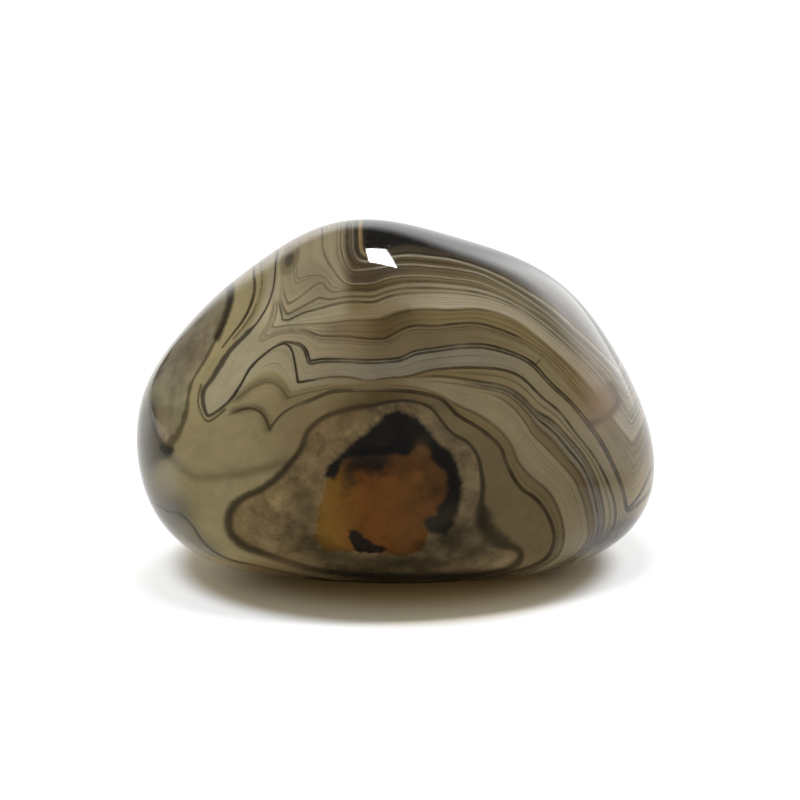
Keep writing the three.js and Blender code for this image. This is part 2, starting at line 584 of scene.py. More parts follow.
BAND_SEAMS = (
    Seam("heart", (
        (-19.5, -13.9), (-19.1, -12.4), (-17.8, -11.2), (-15.9, -10.3), (-14.3, -9.2), (-12.6, -7.5),
        (-11, -5.4), (-10.2, -3.4), (-8.3, -1.8), (-5.4, -0.9), (-2.8, -0.5), (-0.5, 0), (1.8, 0),
        (3.9, -0.7), (5.2, -2.2), (6.4, -3.6), (8.2, -4.7), (9.4, -6.3), (9.9, -8.4), (10, -10.5),
        (9.9, -12.1), (10.3, -14), (11.2, -15.6), (12.8, -16.7), (14.3, -17.3), (14.3, -18.4),
        (13.2, -19.3), (10.8, -19.9), (6.8, -20.2), (0.4, -20.3), (-5.4, -20), (-9.8, -19.4),
        (-12.9, -18.5), (-15.6, -17.6), (-17.8, -16.7), (-19.2, -15.3),
    )),
    Seam("inner", (
        (-14.7, -3.3), (-13.6, -1.8), (-12.1, -0.7), (-9.8, 0.2), (-7.5, 1.1), (-4.5, 1.3), (-0.5, 1.3),
        (2.7, 1), (5.3, 0.2), (7, -1.5), (9.9, -3.3), (12, -5.2), (12.9, -7.5), (14.4, -10), (16.3, -11.4),
        (17.6, -13.3), (18.3, -15.7), (17.6, -17.9), (15.5, -19.2), (12, -20.2), (6.2, -21.6),
        (-0.8, -22.1), (-7.7, -20.9), (-11.2, -20.2), (-15.6, -19.2), (-19.9, -18.1), (-22.2, -16.5),
        (-23.7, -14.3), (-25.1, -13), (-26.5, -12.7), (-28, -11.9), (-32, -10.3), (-36.7, -2.2),
        (-33.2, 8.3), (-25.1, 17.5), (-17, 16.8), (-16.5, 14.5), (-16.4, 12.9), (-17, 10.8), (-18, 9.1),
        (-19.8, 6.6), (-21.4, 4.2), (-22.7, 2), (-23.1, 0.4), (-22.9, -1.1), (-21.8, -2.3), (-20.7, -1.9),
        (-19.1, -1.4), (-17.2, -0.8), (-15.8, -1.2), (-15, -2.3),
    ), corners=(0,)),
    Seam("brown", (
        (-12.6, 0.4), (-9.8, 1.1), (-6, 1.7), (-1.3, 1.8), (1.8, 1.7), (4.6, 1), (6.8, -0.3), (9.7, -1.7),
        (12, -3.4), (13.3, -5.1), (14, -6.8), (15.2, -8.4), (17.6, -10.5), (18.7, -12.4), (19.4, -15.4),
        (18.9, -17.6), (16.9, -19.1), (12.6, -20.6), (6.2, -22.3), (-0.8, -23), (-8.9, -21.2),
        (-12.9, -20.2), (-18.1, -19), (-21.6, -17.7), (-23.9, -16.1), (-25.7, -14.4), (-27.4, -13.5),
        (-32, -12), (-39, -3.3), (-34.4, 10.6), (-25.1, 19.3), (-16.3, 17.8), (-15.7, 15.2), (-15.6, 13.1),
        (-16, 11.2), (-17.1, 9.2), (-18.6, 7.3), (-20.2, 5.4), (-21.8, 2.8), (-22.8, 1.2), (-22.8, -0.1),
        (-22.5, -1.2), (-22, -2), (-20.9, -1.6), (-19.3, -0.3), (-17.8, 0.8), (-16.4, 1.7), (-15.1, 2.2),
        (-14, 2), (-13.2, 1.3),
    ), corners=(0,)),
    Seam("thread", (
        (-12.1, 1.2), (-8.9, 1.9), (-4.2, 2.1), (0.4, 2.1), (5, 1.8), (9.1, 1.2), (11.6, 0.6),
        (13.3, -0.5), (14.8, -2.2), (15.7, -3.7), (17.2, -5.2), (18.9, -7), (20.6, -9), (21.5, -11.1),
        (22.1, -13.5), (22.2, -15.8), (21, -17.5), (17.8, -19.3), (12, -21.9), (0.4, -24.4), (-17, -21.3),
        (-25.1, -16.7), (-32, -13.8), (-40.2, -3.3), (-35.5, 11.7), (-25.1, 20.4), (-15.6, 18.1),
        (-15.1, 15.4), (-15.1, 13.4), (-15.6, 11.3), (-16.7, 9.1), (-18.3, 7.3), (-19.9, 5.4),
        (-21.6, 2.7), (-22.6, 1.1), (-22.7, -0.1), (-22.4, -1.1), (-21.9, -1.9), (-20.8, -1.4),
        (-19.3, -0.1), (-17.6, 1.8), (-16, 3.2), (-14.7, 3.5), (-13.5, 3.2), (-12.7, 2.2),
    ), corners=(0,)),
    Seam("cord", (
        (-11.8, 1.8), (-8.3, 2.3), (-4.2, 2.3), (0.4, 2.4), (5, 2.4), (9.7, 1.7), (12.8, 1), (14.3, -0.1),
        (15.7, -1.6), (16.4, -2.6), (18.3, -4.3), (19.6, -6), (21.3, -8), (22.2, -9.9), (22.8, -12.2),
        (23.1, -14.6), (22.3, -16.7), (19.5, -18.7), (13.2, -22.1), (0.4, -25.1), (-17, -22.1),
        (-26.2, -17.8), (-33.2, -14.9), (-40.7, -3.3), (-36.1, 12.3), (-25.1, 21.2), (-14.9, 18.3),
        (-14.7, 15.7), (-14.8, 13.4), (-15.2, 11.3), (-16.5, 9.1), (-18, 7.3), (-19.6, 5.4), (-21.5, 2.7),
        (-22.5, 1.1), (-22.6, -0.1), (-22.3, -1.1), (-21.9, -1.8), (-20.7, -1.2), (-19.3, 0), (-17.3, 2.6),
        (-15.6, 4.3), (-14.3, 5.1), (-13.2, 4.8), (-12.3, 3.3),
    ), corners=(0,)),
    Seam("rope", (
        (-11.6, 2), (-8.2, 2.5), (-4.2, 2.4), (0.4, 2.6), (5, 2.8), (9.7, 2.1), (12.6, 1.5), (14.3, 0.5),
        (16, -1.2), (18, -2.4), (19.6, -4), (21.7, -6.5), (22.9, -8.9), (23.6, -11.4), (23.9, -14),
        (23.3, -16.2), (20.3, -18.5), (13.7, -22.4), (0.4, -25.6), (-17, -22.6), (-26.8, -18.4),
        (-33.8, -15.1), (-41.1, -3.3), (-36.4, 12.7), (-25.1, 21.6), (-14.4, 18.3), (-14.3, 15.7),
        (-14.4, 13.4), (-15, 11.3), (-16.3, 9.1), (-17.8, 7.3), (-19.5, 5.4), (-21.4, 2.7), (-22.4, 1.1),
        (-22.5, -0.1), (-22.3, -1), (-21.9, -1.8), (-20.7, -1.2), (-19.2, 0.2), (-17.1, 3.2), (-15.2, 5.1),
        (-13.8, 5.8), (-12.7, 5.4), (-12, 3.6),
    ), corners=(0,)),
    Seam("ledge_low", (
        (-11.4, 2.2), (-10, 2.4), (-7.9, 2.8), (-5.4, 2.8), (-3.3, 2.4), (-1, 2.7), (1.3, 2.9), (3.7, 3.6),
        (6.2, 3.9), (9.4, 4), (12.6, 3.7), (14.5, 2.9), (16.9, 0.6), (18.9, -1.1), (20.9, -3.7),
        (23.1, -6.6), (24.6, -9.5), (25.4, -12), (25.3, -14.3), (24, -16.1), (21.3, -17.8), (14.3, -22.8),
        (0.4, -26.3), (-17, -23), (-27.4, -19), (-34.4, -15.5), (-41.3, -3.3), (-36.7, 12.9),
        (-25.1, 21.9), (-14, 18.3), (-14, 15.8), (-14.2, 13.4), (-14.8, 11.4), (-16.1, 9.2), (-17.7, 7.5),
        (-19.4, 5.7), (-21.3, 2.7), (-22.4, 1.1), (-22.4, -0.1), (-22.2, -1), (-21.8, -1.7), (-20.7, -1.1),
        (-19.2, 0.2), (-18.1, 1.8), (-16.9, 3.9), (-15.6, 5.2), (-14.1, 6.3), (-13, 6.7), (-12.3, 6.3),
        (-11.9, 5.2), (-11.6, 3.5),
    ), corners=(0,)),
    Seam("ledge_top", (
        (-10, 4.7), (-8.6, 4.9), (-6, 4.9), (-3.3, 4.8), (-0.8, 4.9), (0.5, 5.1), (2, 5.8), (4.6, 6.2),
        (7.6, 6.6), (10.1, 6.6), (12.6, 6), (15.5, 4.7), (18, 2.1), (20.7, -0.5), (23.6, -4.3),
        (25.1, -7.1), (26.2, -9.8), (26.8, -12.5), (28, -11.1), (28.8, -9.6), (29.6, -7.6), (31, -4.5),
        (37.5, -9.1), (37.5, -32.3), (-39, -32.3), (-45.9, -2.2), (-39, 16.4), (-25.1, 22.7),
        (-13.7, 18.1), (-13.8, 16.1), (-14, 13.4), (-14.6, 11.4), (-15.9, 9.3), (-17.4, 7.6), (-19.2, 6.1),
        (-21, 3.4), (-22.2, 1.2), (-22.3, -0.1), (-22.1, -0.9), (-21.8, -1.6), (-20.6, -1.1), (-19.1, 0.3),
        (-18, 1.9), (-16.7, 4), (-15.5, 5.4), (-14, 6.5), (-12.9, 6.9), (-12, 6.8), (-11.2, 6.7),
        (-10.5, 6.1),
    ), corners=(0, 17)),
    Seam("brow", (
        (-15.4, 7.4), (-14, 8), (-12.1, 8.3), (-10.5, 8.2), (-9.7, 7.9), (-8.9, 7.6), (-6, 7.5),
        (-2.8, 7.2), (-1.2, 7.3), (0.1, 8), (1.8, 8.7), (4.6, 8.7), (7.4, 9), (9.4, 9), (12, 8.3),
        (14.9, 7), (17.8, 5), (20.3, 2.2), (23.3, -1.4), (25.9, -4.8), (27.5, -8), (28.3, -6.5),
        (28.9, -5.1), (30.1, -1.6), (39.8, -4.5), (39.8, -36.9), (-45.9, -36.9), (-50.6, -2.2),
        (-41.3, 18.7), (-25.1, 23.9), (-13.4, 18.3), (-13.6, 16.1), (-13.8, 13.6), (-14.1, 12.2),
        (-14.2, 11), (-14.5, 9.4), (-14.9, 8.3),
    ), corners=(0, 20)),
    Seam("cream_low", (
        (-14.4, 8.6), (-13, 8.8), (-10.6, 9), (-7.7, 9.2), (-5.4, 9.5), (-2.8, 9.6), (-1.4, 9.7),
        (-0.3, 10.2), (1.3, 10.6), (3.3, 10.8), (6.2, 10.7), (9.4, 10.8), (11.8, 10.3), (14.3, 9.2),
        (17.2, 6.9), (20.3, 4.1), (22.7, 1.5), (24.5, -1.1), (27.3, -4.6), (28.1, -3.2), (28.7, -1.7),
        (29.4, 0.7), (42.1, -2.2), (42.1, -41.6), (-50.6, -41.6), (-55.2, -2.2), (-43.6, 21),
        (-25.1, 25.1), (-13.3, 18.7), (-13.4, 16.1), (-13.6, 13.6), (-13.8, 11.7), (-13.9, 10.1),
    ), corners=(0, 18)),
    Seam("shelf", (
        (-13.2, 9.4), (-12.5, 9.4), (-10.8, 10.2), (-8.9, 10.7), (-7.2, 11.2), (-5.4, 11.5), (-2.6, 11.5),
        (-1.2, 12), (0.6, 12.4), (3.3, 12.5), (6.4, 12.4), (9.2, 12.1), (12, 11.4), (14.5, 10.2),
        (17.3, 8.1), (20.6, 5.2), (23.1, 2.6), (25, 0), (27.2, -3.4), (28, -2.2), (28.5, -0.8), (29, 1.9),
        (44.4, 0.2), (44.4, -46.2), (-55.2, -46.2), (-59.8, -2.2), (-45.9, 23.3), (-25.1, 26.2),
        (-13.1, 18.9), (-13.2, 16.1), (-13.4, 13.6), (-13.6, 11.7), (-13.4, 10.5),
    ), corners=(0, 18)),
    Seam("step", (
        (-13, 11.4), (-12.6, 10.8), (-11.6, 11.4), (-10.5, 12.3), (-9.2, 13.4), (-8.6, 13.6), (-8.2, 13),
        (-7.5, 12.5), (-5.4, 12.8), (-2.7, 12.8), (-1.2, 13.3), (0.6, 13.7), (3.3, 13.8), (6.4, 13.6),
        (9.2, 13.2), (12, 12.3), (14.5, 11), (17.3, 9.1), (20.6, 6.2), (23.3, 3.5), (25.2, 1),
        (27.2, -2.2), (27.8, -1), (28.2, 0.2), (28.7, 2.5), (46.8, 2.5), (46.8, -50.8), (-59.8, -50.8),
        (-64.5, -2.2), (-48.3, 25.6), (-25.1, 27.4), (-12.9, 19.2), (-13, 17.5), (-13.4, 16.1),
        (-13.5, 14.5), (-13.4, 12.7),
    ), corners=(1, 7, 21)),
    Seam("pale_low", (
        (-7.4, 20), (-7.4, 18), (-7.3, 16.6), (-6.9, 15.6), (-6.4, 14.8), (-5.9, 14), (-5.2, 13.7),
        (-4, 13.7), (-2.6, 13.8), (-1.2, 14.3), (0.6, 14.6), (3.3, 14.6), (6.4, 14.3), (9.2, 13.9),
        (12, 12.8), (14.5, 11.4), (17.3, 9.7), (20.6, 6.8), (23.6, 4), (25.4, 1.7), (27, -1.1), (27.5, 0),
        (27.9, 1.1), (28, 3.6), (49.1, 3.6), (49.1, -55.5), (-64.5, -55.5), (-69.1, -2.2), (-50.6, 28),
        (-25.1, 29.1), (-7.4, 21.6),
    ), corners=(20,)),
    Seam("pale_mid", (
        (-6.2, 20.3), (-6.3, 18.5), (-6.1, 17.1), (-5.7, 16), (-5.2, 15.3), (-4, 15.3), (-2.1, 15.5),
        (-0.5, 15.8), (1.6, 15.9), (4.1, 15.7), (6.9, 15.4), (9.7, 14.8), (12.2, 13.6), (14.8, 12.1),
        (17.8, 9.9), (20.8, 7.1), (23.8, 4.4), (25.4, 2.6), (26.4, 1), (26.9, 2.1), (27.1, 3.4),
        (27.2, 5.9), (51.4, 5.9), (51.4, -57.8), (-69.1, -57.8), (-73.8, -2.2), (-52.9, 30.3),
        (-25.1, 31.4), (-6.2, 22.7),
    ), corners=(18,)),
    Seam("pale_top", (
        (-5.2, 20.5), (-5.2, 18.9), (-5.1, 17.4), (-4.6, 16.4), (-3.8, 16.1), (-2.1, 16.2), (-0.5, 16.6),
        (1.3, 16.8), (3.9, 16.6), (6.4, 16.3), (9.4, 15.5), (12.2, 14.3), (15, 12.7), (18, 10.7), (21, 8),
        (23.8, 5.4), (25, 4.1), (25.7, 3), (26.1, 4.1), (26, 5.9), (25.7, 7.7), (53.7, 8.3), (53.7, -60.1),
        (-73.8, -60.1), (-78.4, -2.2), (-55.2, 32.6), (-25.1, 33.8), (-5.2, 23.9),
    ), corners=(17,)),
    Seam("core", (
        (-3.8, 20.8), (-3.8, 19.2), (-3.7, 17.9), (-3.3, 17.2), (-2.1, 17.3), (-0.5, 17.8), (1.3, 18),
        (3.9, 17.7), (6.4, 17.2), (9.4, 16.1), (12.2, 14.9), (15, 13.3), (18, 11.4), (21, 8.8),
        (23.8, 6.3), (24.7, 5.2), (25.1, 6.4), (25, 7.6), (24.7, 8.8), (56, 9.4), (56, -62.4),
        (-78.4, -62.4), (-83, -2.2), (-57.5, 34.9), (-25.1, 36.1), (-3.8, 25.1),
    ), corners=(16,)),
)
OVAL_SEAM = Seam("oval", (
    (-19.4, 13.2), (-19.2, 11.7), (-19.5, 10.5), (-20.1, 8.8), (-20.9, 7.2), (-22, 5.1), (-22.9, 3.6),
    (-23.7, 2.2), (-24.1, 0.7), (-24.3, -0.8), (-24.7, -2.4), (-25.4, -3.8), (-26.6, -5.3), (-27.4, -4.6),
    (-28, -3.4), (-28.4, -1.8), (-28.6, -0.2), (-28.6, 1.1), (-27.8, 3.2), (-26.7, 4.9), (-26.1, 6.2),
    (-25.6, 8.3), (-22.8, 12.3),
), corners=(12,))
CAP_SEAM = Seam("cap", (
    (-8.4, -8.6), (-7.5, -7.2), (-5.6, -5.3), (-3.1, -3.3), (-1.2, -1.6), (0.4, -1.1), (2, -1.6),
    (3.6, -3.2), (4.9, -4.8), (6.2, -5.9), (6.9, -7), (7.6, -9.8), (7.4, -11.8), (6.9, -13.6),
    (6.3, -14.9), (5.2, -15.4), (4.1, -15.2), (3.3, -14.3), (3.3, -13.7), (4.6, -13.1), (4.9, -12.2),
    (5.6, -11.2), (5.8, -9.7), (5.8, -8.4), (4.3, -7), (3.7, -5.4), (2.2, -5.2), (1.6, -6.1), (0.2, -6.2),
    (-2.5, -6.4), (-5.3, -6.5), (-6.5, -7.4), (-7.1, -8.9), (-7.6, -8.9),
))
AMBER_SEAM = Seam("amber", (
    (-7.9, -9), (-7, -8), (-6.2, -6.6), (-4.2, -5.4), (-1.3, -5), (2.1, -4.2), (4.4, -5.4), (6.6, -7.6),
    (6.8, -9.6), (6.2, -11.3), (5, -12.8), (3.7, -13.7), (3.6, -15.1), (3.1, -16.9), (1.6, -17.8),
    (-1.3, -17.8), (-6, -17.3), (-8.6, -16.9), (-9.4, -15.6), (-9.2, -13.2), (-8.5, -10.9),
))
BLOTCH_SEAM = Seam("blotch", (
    (-5.5, -15.1), (-4.6, -15), (-4, -15.6), (-3.2, -16.4), (-2, -17), (-1.1, -17.1), (-1.7, -17.5),
    (-4, -17.5), (-4.8, -17.1), (-5.3, -16),
))

# The seams that layers of their own follow.
HEART, INNER, FINGER, STEP = (
    [seam.name for seam in BAND_SEAMS].index(name) for name in ("heart", "inner", "ledge_low", "step")
)


@dataclass(frozen=True)
class Anchor:
    """The half width that a line has near one place, in millimetres."""

    place: Point
    half_width: float


def turned_axes(
    places: np.ndarray, middle: Point, reach: Point, turn: float
) -> tuple[np.ndarray, np.ndarray]:
    """Places as an ellipse sees them.

    Args:
        places: Places on the plane, one row each.
        middle: The ellipse's middle.
        reach: Its half lengths.
        turn: How far it's turned, in degrees.
    Returns:
        The places along and across the ellipse, in half lengths.
    """
    cos, sin = math.cos(math.radians(turn)), math.sin(math.radians(turn))
    u, v = (places - np.array(middle)).T
    return (u * cos + v * sin) / reach[0], (v * cos - u * sin) / reach[1]


@dataclass(frozen=True)
class Bloom:
    """A soft spot: an ellipse that fades outwards. Most are spots in the stone; some are painted shade,
    painted light or part of a painted reflection edge.
    """

    place: Point
    reach: Point
    strength: float = 1.0
    turn: float = 0.0

    def strengths(self, places: np.ndarray) -> np.ndarray:
        """How strong the spot is at each place."""
        along, across = turned_axes(places, self.place, self.reach, self.turn)
        return self.strength * np.exp(-(along**2 + across**2))


@dataclass(frozen=True)
class Strand:
    """An open line drawn on the stone, in millimetres."""

    points: tuple[Point, ...]
    half_width: float
    strength: float = 1.0
    softness: float = 0.7

    def strengths(self, places: np.ndarray) -> np.ndarray:
        """How strong the line is at each place, when it is a soft one."""
        return self.strength * np.exp(-self.softness * self.spans(places) ** 2)

    def trace(self) -> np.ndarray:
        """Draws the line as a smooth curve through its points.

        Returns:
            The curve's places in order.
        """
        knots = np.array((self.points[0], *self.points, self.points[-1]))
        trace = [self.points[0]]
        for before, start, end, after in zip(knots, knots[1:], knots[2:], knots[3:]):
            for at in np.linspace(0.25, 1.0, 4):
                bow = (end - before) * (at - 2 * at**2 + at**3) / 2 + (after - start) * (at**3 - at**2) / 2
                trace.append(start * (1 - 3 * at**2 + 2 * at**3) + end * (3 * at**2 - 2 * at**3) + bow)
        return np.array(trace)

    def spans(self, places: np.ndarray) -> np.ndarray:
        """Distance to the line.

        Args:
            places: Places on the plane, one row each.
        Returns:
            Distances in half widths.
        """
        trace = self.trace()
        best = np.full(len(places), np.inf)
        for start, end in zip(trace, trace[1:]):
            step = end - start
            along = np.clip(((places - start) @ step) / max(step @ step, 1e-9), 0, 1)
            best = np.minimum(best, np.hypot(*(places - start - along[:, None] * step).T))
        return best / self.half_width


def width_at(anchors: Sequence[Anchor], places: np.ndarray, evenness: float = 0.3) -> np.ndarray:
    """Half widths between anchors.

    Args:
        anchors: Where the width is known.
        places: Places on the plane, one row each.
        evenness: Square millimetres over which an anchor's pull levels off.
    Returns:
        The half width at each place, weighted towards the nearest anchors.
    """
    total = np.zeros(len(places))
    weights = np.zeros(len(places))
    for anchor in anchors:
        weight = 1 / (((places - np.array(anchor.place)) ** 2).sum(1) + evenness) ** 2
        total += weight * anchor.half_width
        weights += weight
    return total / weights


@dataclass
class PebblePattern:
    """Writes the pattern on the stone: where each point lies between seams, and how near to which line.

    On the back half the bands close behind the heart as shells, so a level rises with the depth.
    """

    heart_pitch: float = 3.0
    core_pitch: float = 3.0
    back_rise: float = 9.0
    back_power: float = 1.5
    back_depth: float = 21.0
    fold_level: float = 15.5
    back_fade: float = 30.0
    oval_fade: float = 9.0
    bloom_fade: float = 8.0
    drift: float = 2.5
    drift_right: Point = (0.19, 0.11)
    drift_up: Point = (0.16, 0.2)
    drift_start: float = 0.7
    drift_bend: float = 0.4
    least_pitch: float = 0.02
    eye_place: Point = (-12.4, 16.4)
    eye_reach: Point = (0.55, 1.0)
    eye_turn: float = -20.0
    heart_rim: tuple[Anchor, ...] = (
        Anchor((-19.5, -13.9), 0.52), Anchor((-16.0, -10.2), 0.42), Anchor((-11.2, -5.3), 0.35),
        Anchor((-8.3, -1.8), 0.3), Anchor((-5.4, -0.9), 0.3), Anchor((-0.5, 0.0), 0.2),
        Anchor((5.2, -2.2), 0.17), Anchor((9.4, -6.3), 0.22), Anchor((10.0, -10.5), 0.3),
        Anchor((10.3, -14.0), 0.95), Anchor((11.2, -15.6), 1.0), Anchor((14.3, -18.0), 0.42),
        Anchor((11.5, -19.8), 0.3), Anchor((7.0, -20.2), 0.42), Anchor((0.4, -20.3), 0.42),
        Anchor((-6.0, -20.0), 0.35), Anchor((-12.9, -18.5), 0.4),
    )
    finger_outline: tuple[Anchor, ...] = (
        Anchor((-14.2, 14.0), 0.08), Anchor((-14.8, 11.5), 0.08), Anchor((-15.7, 9.4), 0.1),
        Anchor((-17.7, 7.5), 0.26), Anchor((-20.5, 4.3), 0.31), Anchor((-22.4, 0.5), 0.26),
        Anchor((-21.8, -1.7), 0.2), Anchor((-19.2, 0.2), 0.2), Anchor((-17.3, 3.2), 0.15),
        Anchor((-15.0, 5.8), 0.1), Anchor((-12.5, 6.6), 0.11), Anchor((-11.6, 3.5), 0.13),
    )
    oval_rim: tuple[Anchor, ...] = (
        Anchor((-19.3, 11.7), 0.33), Anchor((-20.2, 8.5), 0.22), Anchor((-21.6, 5.7), 0.16),
        Anchor((-23.2, 3.2), 0.15), Anchor((-24.2, 1.5), 0.2), Anchor((-24.7, -2.7), 0.3),
        Anchor((-26.0, -4.5), 0.45), Anchor((-27.6, -4.3), 0.25), Anchor((-28.6, -1.0), 0.12),
    )
    shade: tuple[Bloom, ...] = (
        Bloom((-12.9, -14.9), (1.2, 1.0), 0.5),
        Bloom((-7.7, -18.0), (3.0, 1.0), 0.6),
        Bloom((2.7, -10.0), (0.9, 0.7), 0.6),
        Bloom((4.7, -10.3), (0.8, 0.7), 0.6),
        Bloom((-5.4, -8.0), (1.4, 0.9), 0.4),
        Bloom((6.0, -15.8), (1.8, 1.3), 0.8),
        Bloom((2.7, -16.7), (1.2, 0.9), 0.7),
        # Painted shade, these three: darker along the bottom of the broad face, where the stone turns
        # under.
        Bloom((-4.0, -19.5), (5.0, 1.0), 0.8),
        Bloom((2.5, -18.8), (4.5, 0.9), 1.0),
        Bloom((-2.0, -17.9), (6.0, 0.9), 0.6),
        # Painted shade along the lower right edge, where the stone meets its shadow.
        Bloom((26.0, -16.2), (3.4, 1.8), 2.5, 40.0),
        Bloom((-28.6, -2.2), (0.8, 1.8), 1.3),
        Bloom((-26.2, -13.0), (3.0, 2.8), 1.2),
        Bloom((-22.3, -16.8), (3.4, 1.4), 0.8, -30.0),
        Bloom((5.5, -16.5), (3.0, 1.2), 0.3),
        Bloom((0.4, -0.7), (6.0, 1.0), 0.7),
        Bloom((9.9, -13.6), (1.0, 2.0), 0.7),
        Bloom((9.2, -17.4), (2.6, 1.4), 0.8),
        Bloom((-26.6, -5.9), (0.7, 0.6), 1.4),
        Bloom((-28.3, -5.8), (1.6, 1.2), 1.3),
        Bloom((-29.8, -6.5), (2.4, 10.0), 1.1),
        Bloom((-24.2, 6.0), (1.4, 2.4), 0.5, -35.0),
        Bloom((-11.0, -12.5), (1.6, 3.0), 0.6),
        Bloom((-10.4, -16.8), (3.0, 1.4), 0.8),
        Bloom((7.4, -14.6), (2.4, 1.2), 0.8),
        Bloom((-4.0, -9.6), (1.2, 0.8), 0.4),
        Bloom((-2.6, -7.3), (3.2, 1.2), 0.7),
        Bloom((-9.6, -14.0), (1.4, 2.6), 0.5),
        Bloom((-3.2, 16.6), (1.7, 3.6), 0.6),
        Bloom((2.4, 13.0), (4.0, 1.6), 0.35),
        Bloom((18.5, 8.4), (5.0, 1.2), 0.4, -38.0),
        Bloom((-7.0, 8.3), (2.4, 1.4), 0.6),
        Bloom((-5.4, -1.4), (2.4, 1.2), 0.5),
        Bloom((-9.0, 14.5), (2.4, 3.0), 0.45),
        Bloom((-7.0, -3.4), (2.6, 1.4), 0.45, 45.0),
        # With the rusty spot at the same place, part of the painted reflection edge at the right end.
        Bloom((23.8, -0.4), (1.7, 2.0), 0.8),
    )
    glow: tuple[Bloom, ...] = (
        # Painted reflection: the lower right end lighter and greyer, as if the floor showed in the polish.
        Bloom((28.6, -10.5), (1.6, 3.5), 3.0),
        Bloom((-19.5, 2.0), (2.5, 6.0), 0.5, -35.0),
        Bloom((-9.0, 9.8), (3.0, 0.6), 0.4, 8.0),
        Bloom((-14.4, 10.2), (1.5, 2.0), 2.5),
        Bloom((-14.0, -11.5), (1.8, 3.0), 1.5, -40.0),
        Bloom((-14.5, 2.6), (3.5, 2.0), 1.3),
        Bloom((8.6, -9.0), (1.2, 3.5), 1.5),
        # Painted light, these four: the bottom edge lighter, where the stone turns under towards the
        # floor.
        Bloom((-21.5, -19.3), (4.5, 1.4), 4.6),
        Bloom((12.8, -19.2), (5.0, 1.3), 6.0),
        Bloom((-12.5, -18.8), (3.5, 1.4), 3.0),
        Bloom((0.0, -21.0), (15.0, 0.4), 5.0),
    )
    rust: tuple[Bloom, ...] = (
        Bloom((-10.0, -3.3), (3.0, 2.0), 0.5),
        Bloom((-26.8, -1.6), (1.2, 2.0), 0.8),
        Bloom((2.9, -5.3), (0.8, 1.0), 0.6),
        # Part of the painted reflection edge at the right end.
        Bloom((23.8, -0.2), (1.9, 2.6), 2.4),
        Bloom((21.8, 3.4), (2.0, 3.0), 0.7, 35.0),
        Bloom((-4.4, 15.4), (2.0, 1.6), 0.7),
        # Painted warm light along the bottom left edge.
        Bloom((-15.5, -19.5), (4.5, 1.2), 1.8),
        Bloom((-5.5, 8.3), (4.0, 1.6), 0.9),
        Bloom((-5.5, -1.4), (2.6, 1.2), 0.6),
    )
    strands: tuple[Strand, ...] = (
        Strand(
            ((-16.6, 15.2), (-16.5, 13.6), (-16.8, 11.7), (-17.6, 9.6), (-18.9, 7.9), (-20.2, 6.2)),
            0.12,
        ),
        Strand(
            ((-15.7, 16.0), (-15.5, 14.4), (-15.9, 12.3), (-16.6, 10.4), (-17.6, 8.8), (-18.9, 7.2)),
            0.09,
        ),
        Strand(
            ((-22.6, 2.0), (-23.0, 0.2), (-22.6, -1.4), (-21.9, -2.3), (-21.0, -1.9), (-19.8, -0.9)),
            0.13,
        ),
        Strand(((-19.2, 13.5), (-19.3, 11.7), (-20.0, 9.4), (-20.8, 7.3)), 0.44),
        Strand(((-27.2, -5.4), (-26.6, -5.9), (-26.0, -5.6)), 0.32),
        Strand(((15.5, 4.6), (16.1, 4.3), (16.7, 4.9)), 0.09),
    )
    # The first two arcs are painted reflection edges at the left and the right end, standing for the line
    # where the floor's reflection begins; the others are dark arcs of the stone.
    arcs_and_reflection_edges: tuple[Strand, ...] = (
        Strand(((-26.5, -6.2), (-24.0, -8.4), (-21.8, -8.8), (-17.0, -8.2), (-12.9, -7.0)), 0.5, 0.42),
        Strand(
            ((24.8, 2.0), (25.3, 1.1), (25.6, -0.1), (25.1, -1.0), (24.2, -1.8), (22.6, -2.6)),
            0.38, 1.0,
        ),
        Strand(
            ((-18.4, 0.3), (-17.0, 1.5), (-15.6, 2.3), (-14.1, 2.3), (-13.3, 1.6), (-12.8, 0.5)),
            0.4, 0.5,
        ),
        Strand(((-18.8, -1.1), (-17.4, -0.8), (-16.0, -0.8), (-15.2, -1.8), (-14.8, -3.2)), 0.38, 0.65),
        Strand(((-1.5, 9.6), (0.2, 10.2), (1.4, 10.5)), 0.3, 0.6),
    )

    def paint(self, mesh: bpy.types.Mesh, places: np.ndarray, back: np.ndarray) -> None:
        """Writes every layer of the pattern as an attribute.

        Args:
            mesh: The stone's mesh.
            places: Each vertex's place on the plane of the broad face.
            back: How far round the back each vertex lies.
        """
        places = self._drifted(places, back)
        distances = np.stack([seam.distance(places) for seam in BAND_SEAMS])
        inner_edge, finger_edge, step_edge = distances[INNER], distances[FINGER], distances[STEP]
        rise = self.back_rise * back**self.back_power
        level, pitch = self._levels(distances, back, rise)
        fade = back * self.back_fade
        heart = distances[HEART] + rise * self.heart_pitch
        oval = OVAL_SEAM.distance(places) + back * self.oval_fade
        layers = {
            "level": level,
            "pitch": pitch,
            "back": back,
            "front": np.exp(-fade),
            "rim": heart / width_at(self.heart_rim, places),
            "finger": finger_edge / width_at(self.finger_outline, places),
            "low_spread": np.abs(inner_edge) + np.abs(finger_edge) + fade,
            "high_spread": np.abs(finger_edge) + np.abs(step_edge) + fade,
            "oval": oval,
            "oval_rim": oval / width_at(self.oval_rim, places),
            "eye": np.hypot(*turned_axes(places, self.eye_place, self.eye_reach, self.eye_turn)) + fade,
            "strand": np.min([strand.spans(places) for strand in self.strands], 0) + fade,
            "arc": np.max([strand.strengths(places) for strand in self.arcs_and_reflection_edges], 0) * np.exp(-fade),
        }
        for seam in (CAP_SEAM, AMBER_SEAM, BLOTCH_SEAM):
            layers[seam.name] = seam.distance(places) + fade
        for seam, distance in zip(BAND_SEAMS, distances):
            layers[seam.name] = distance
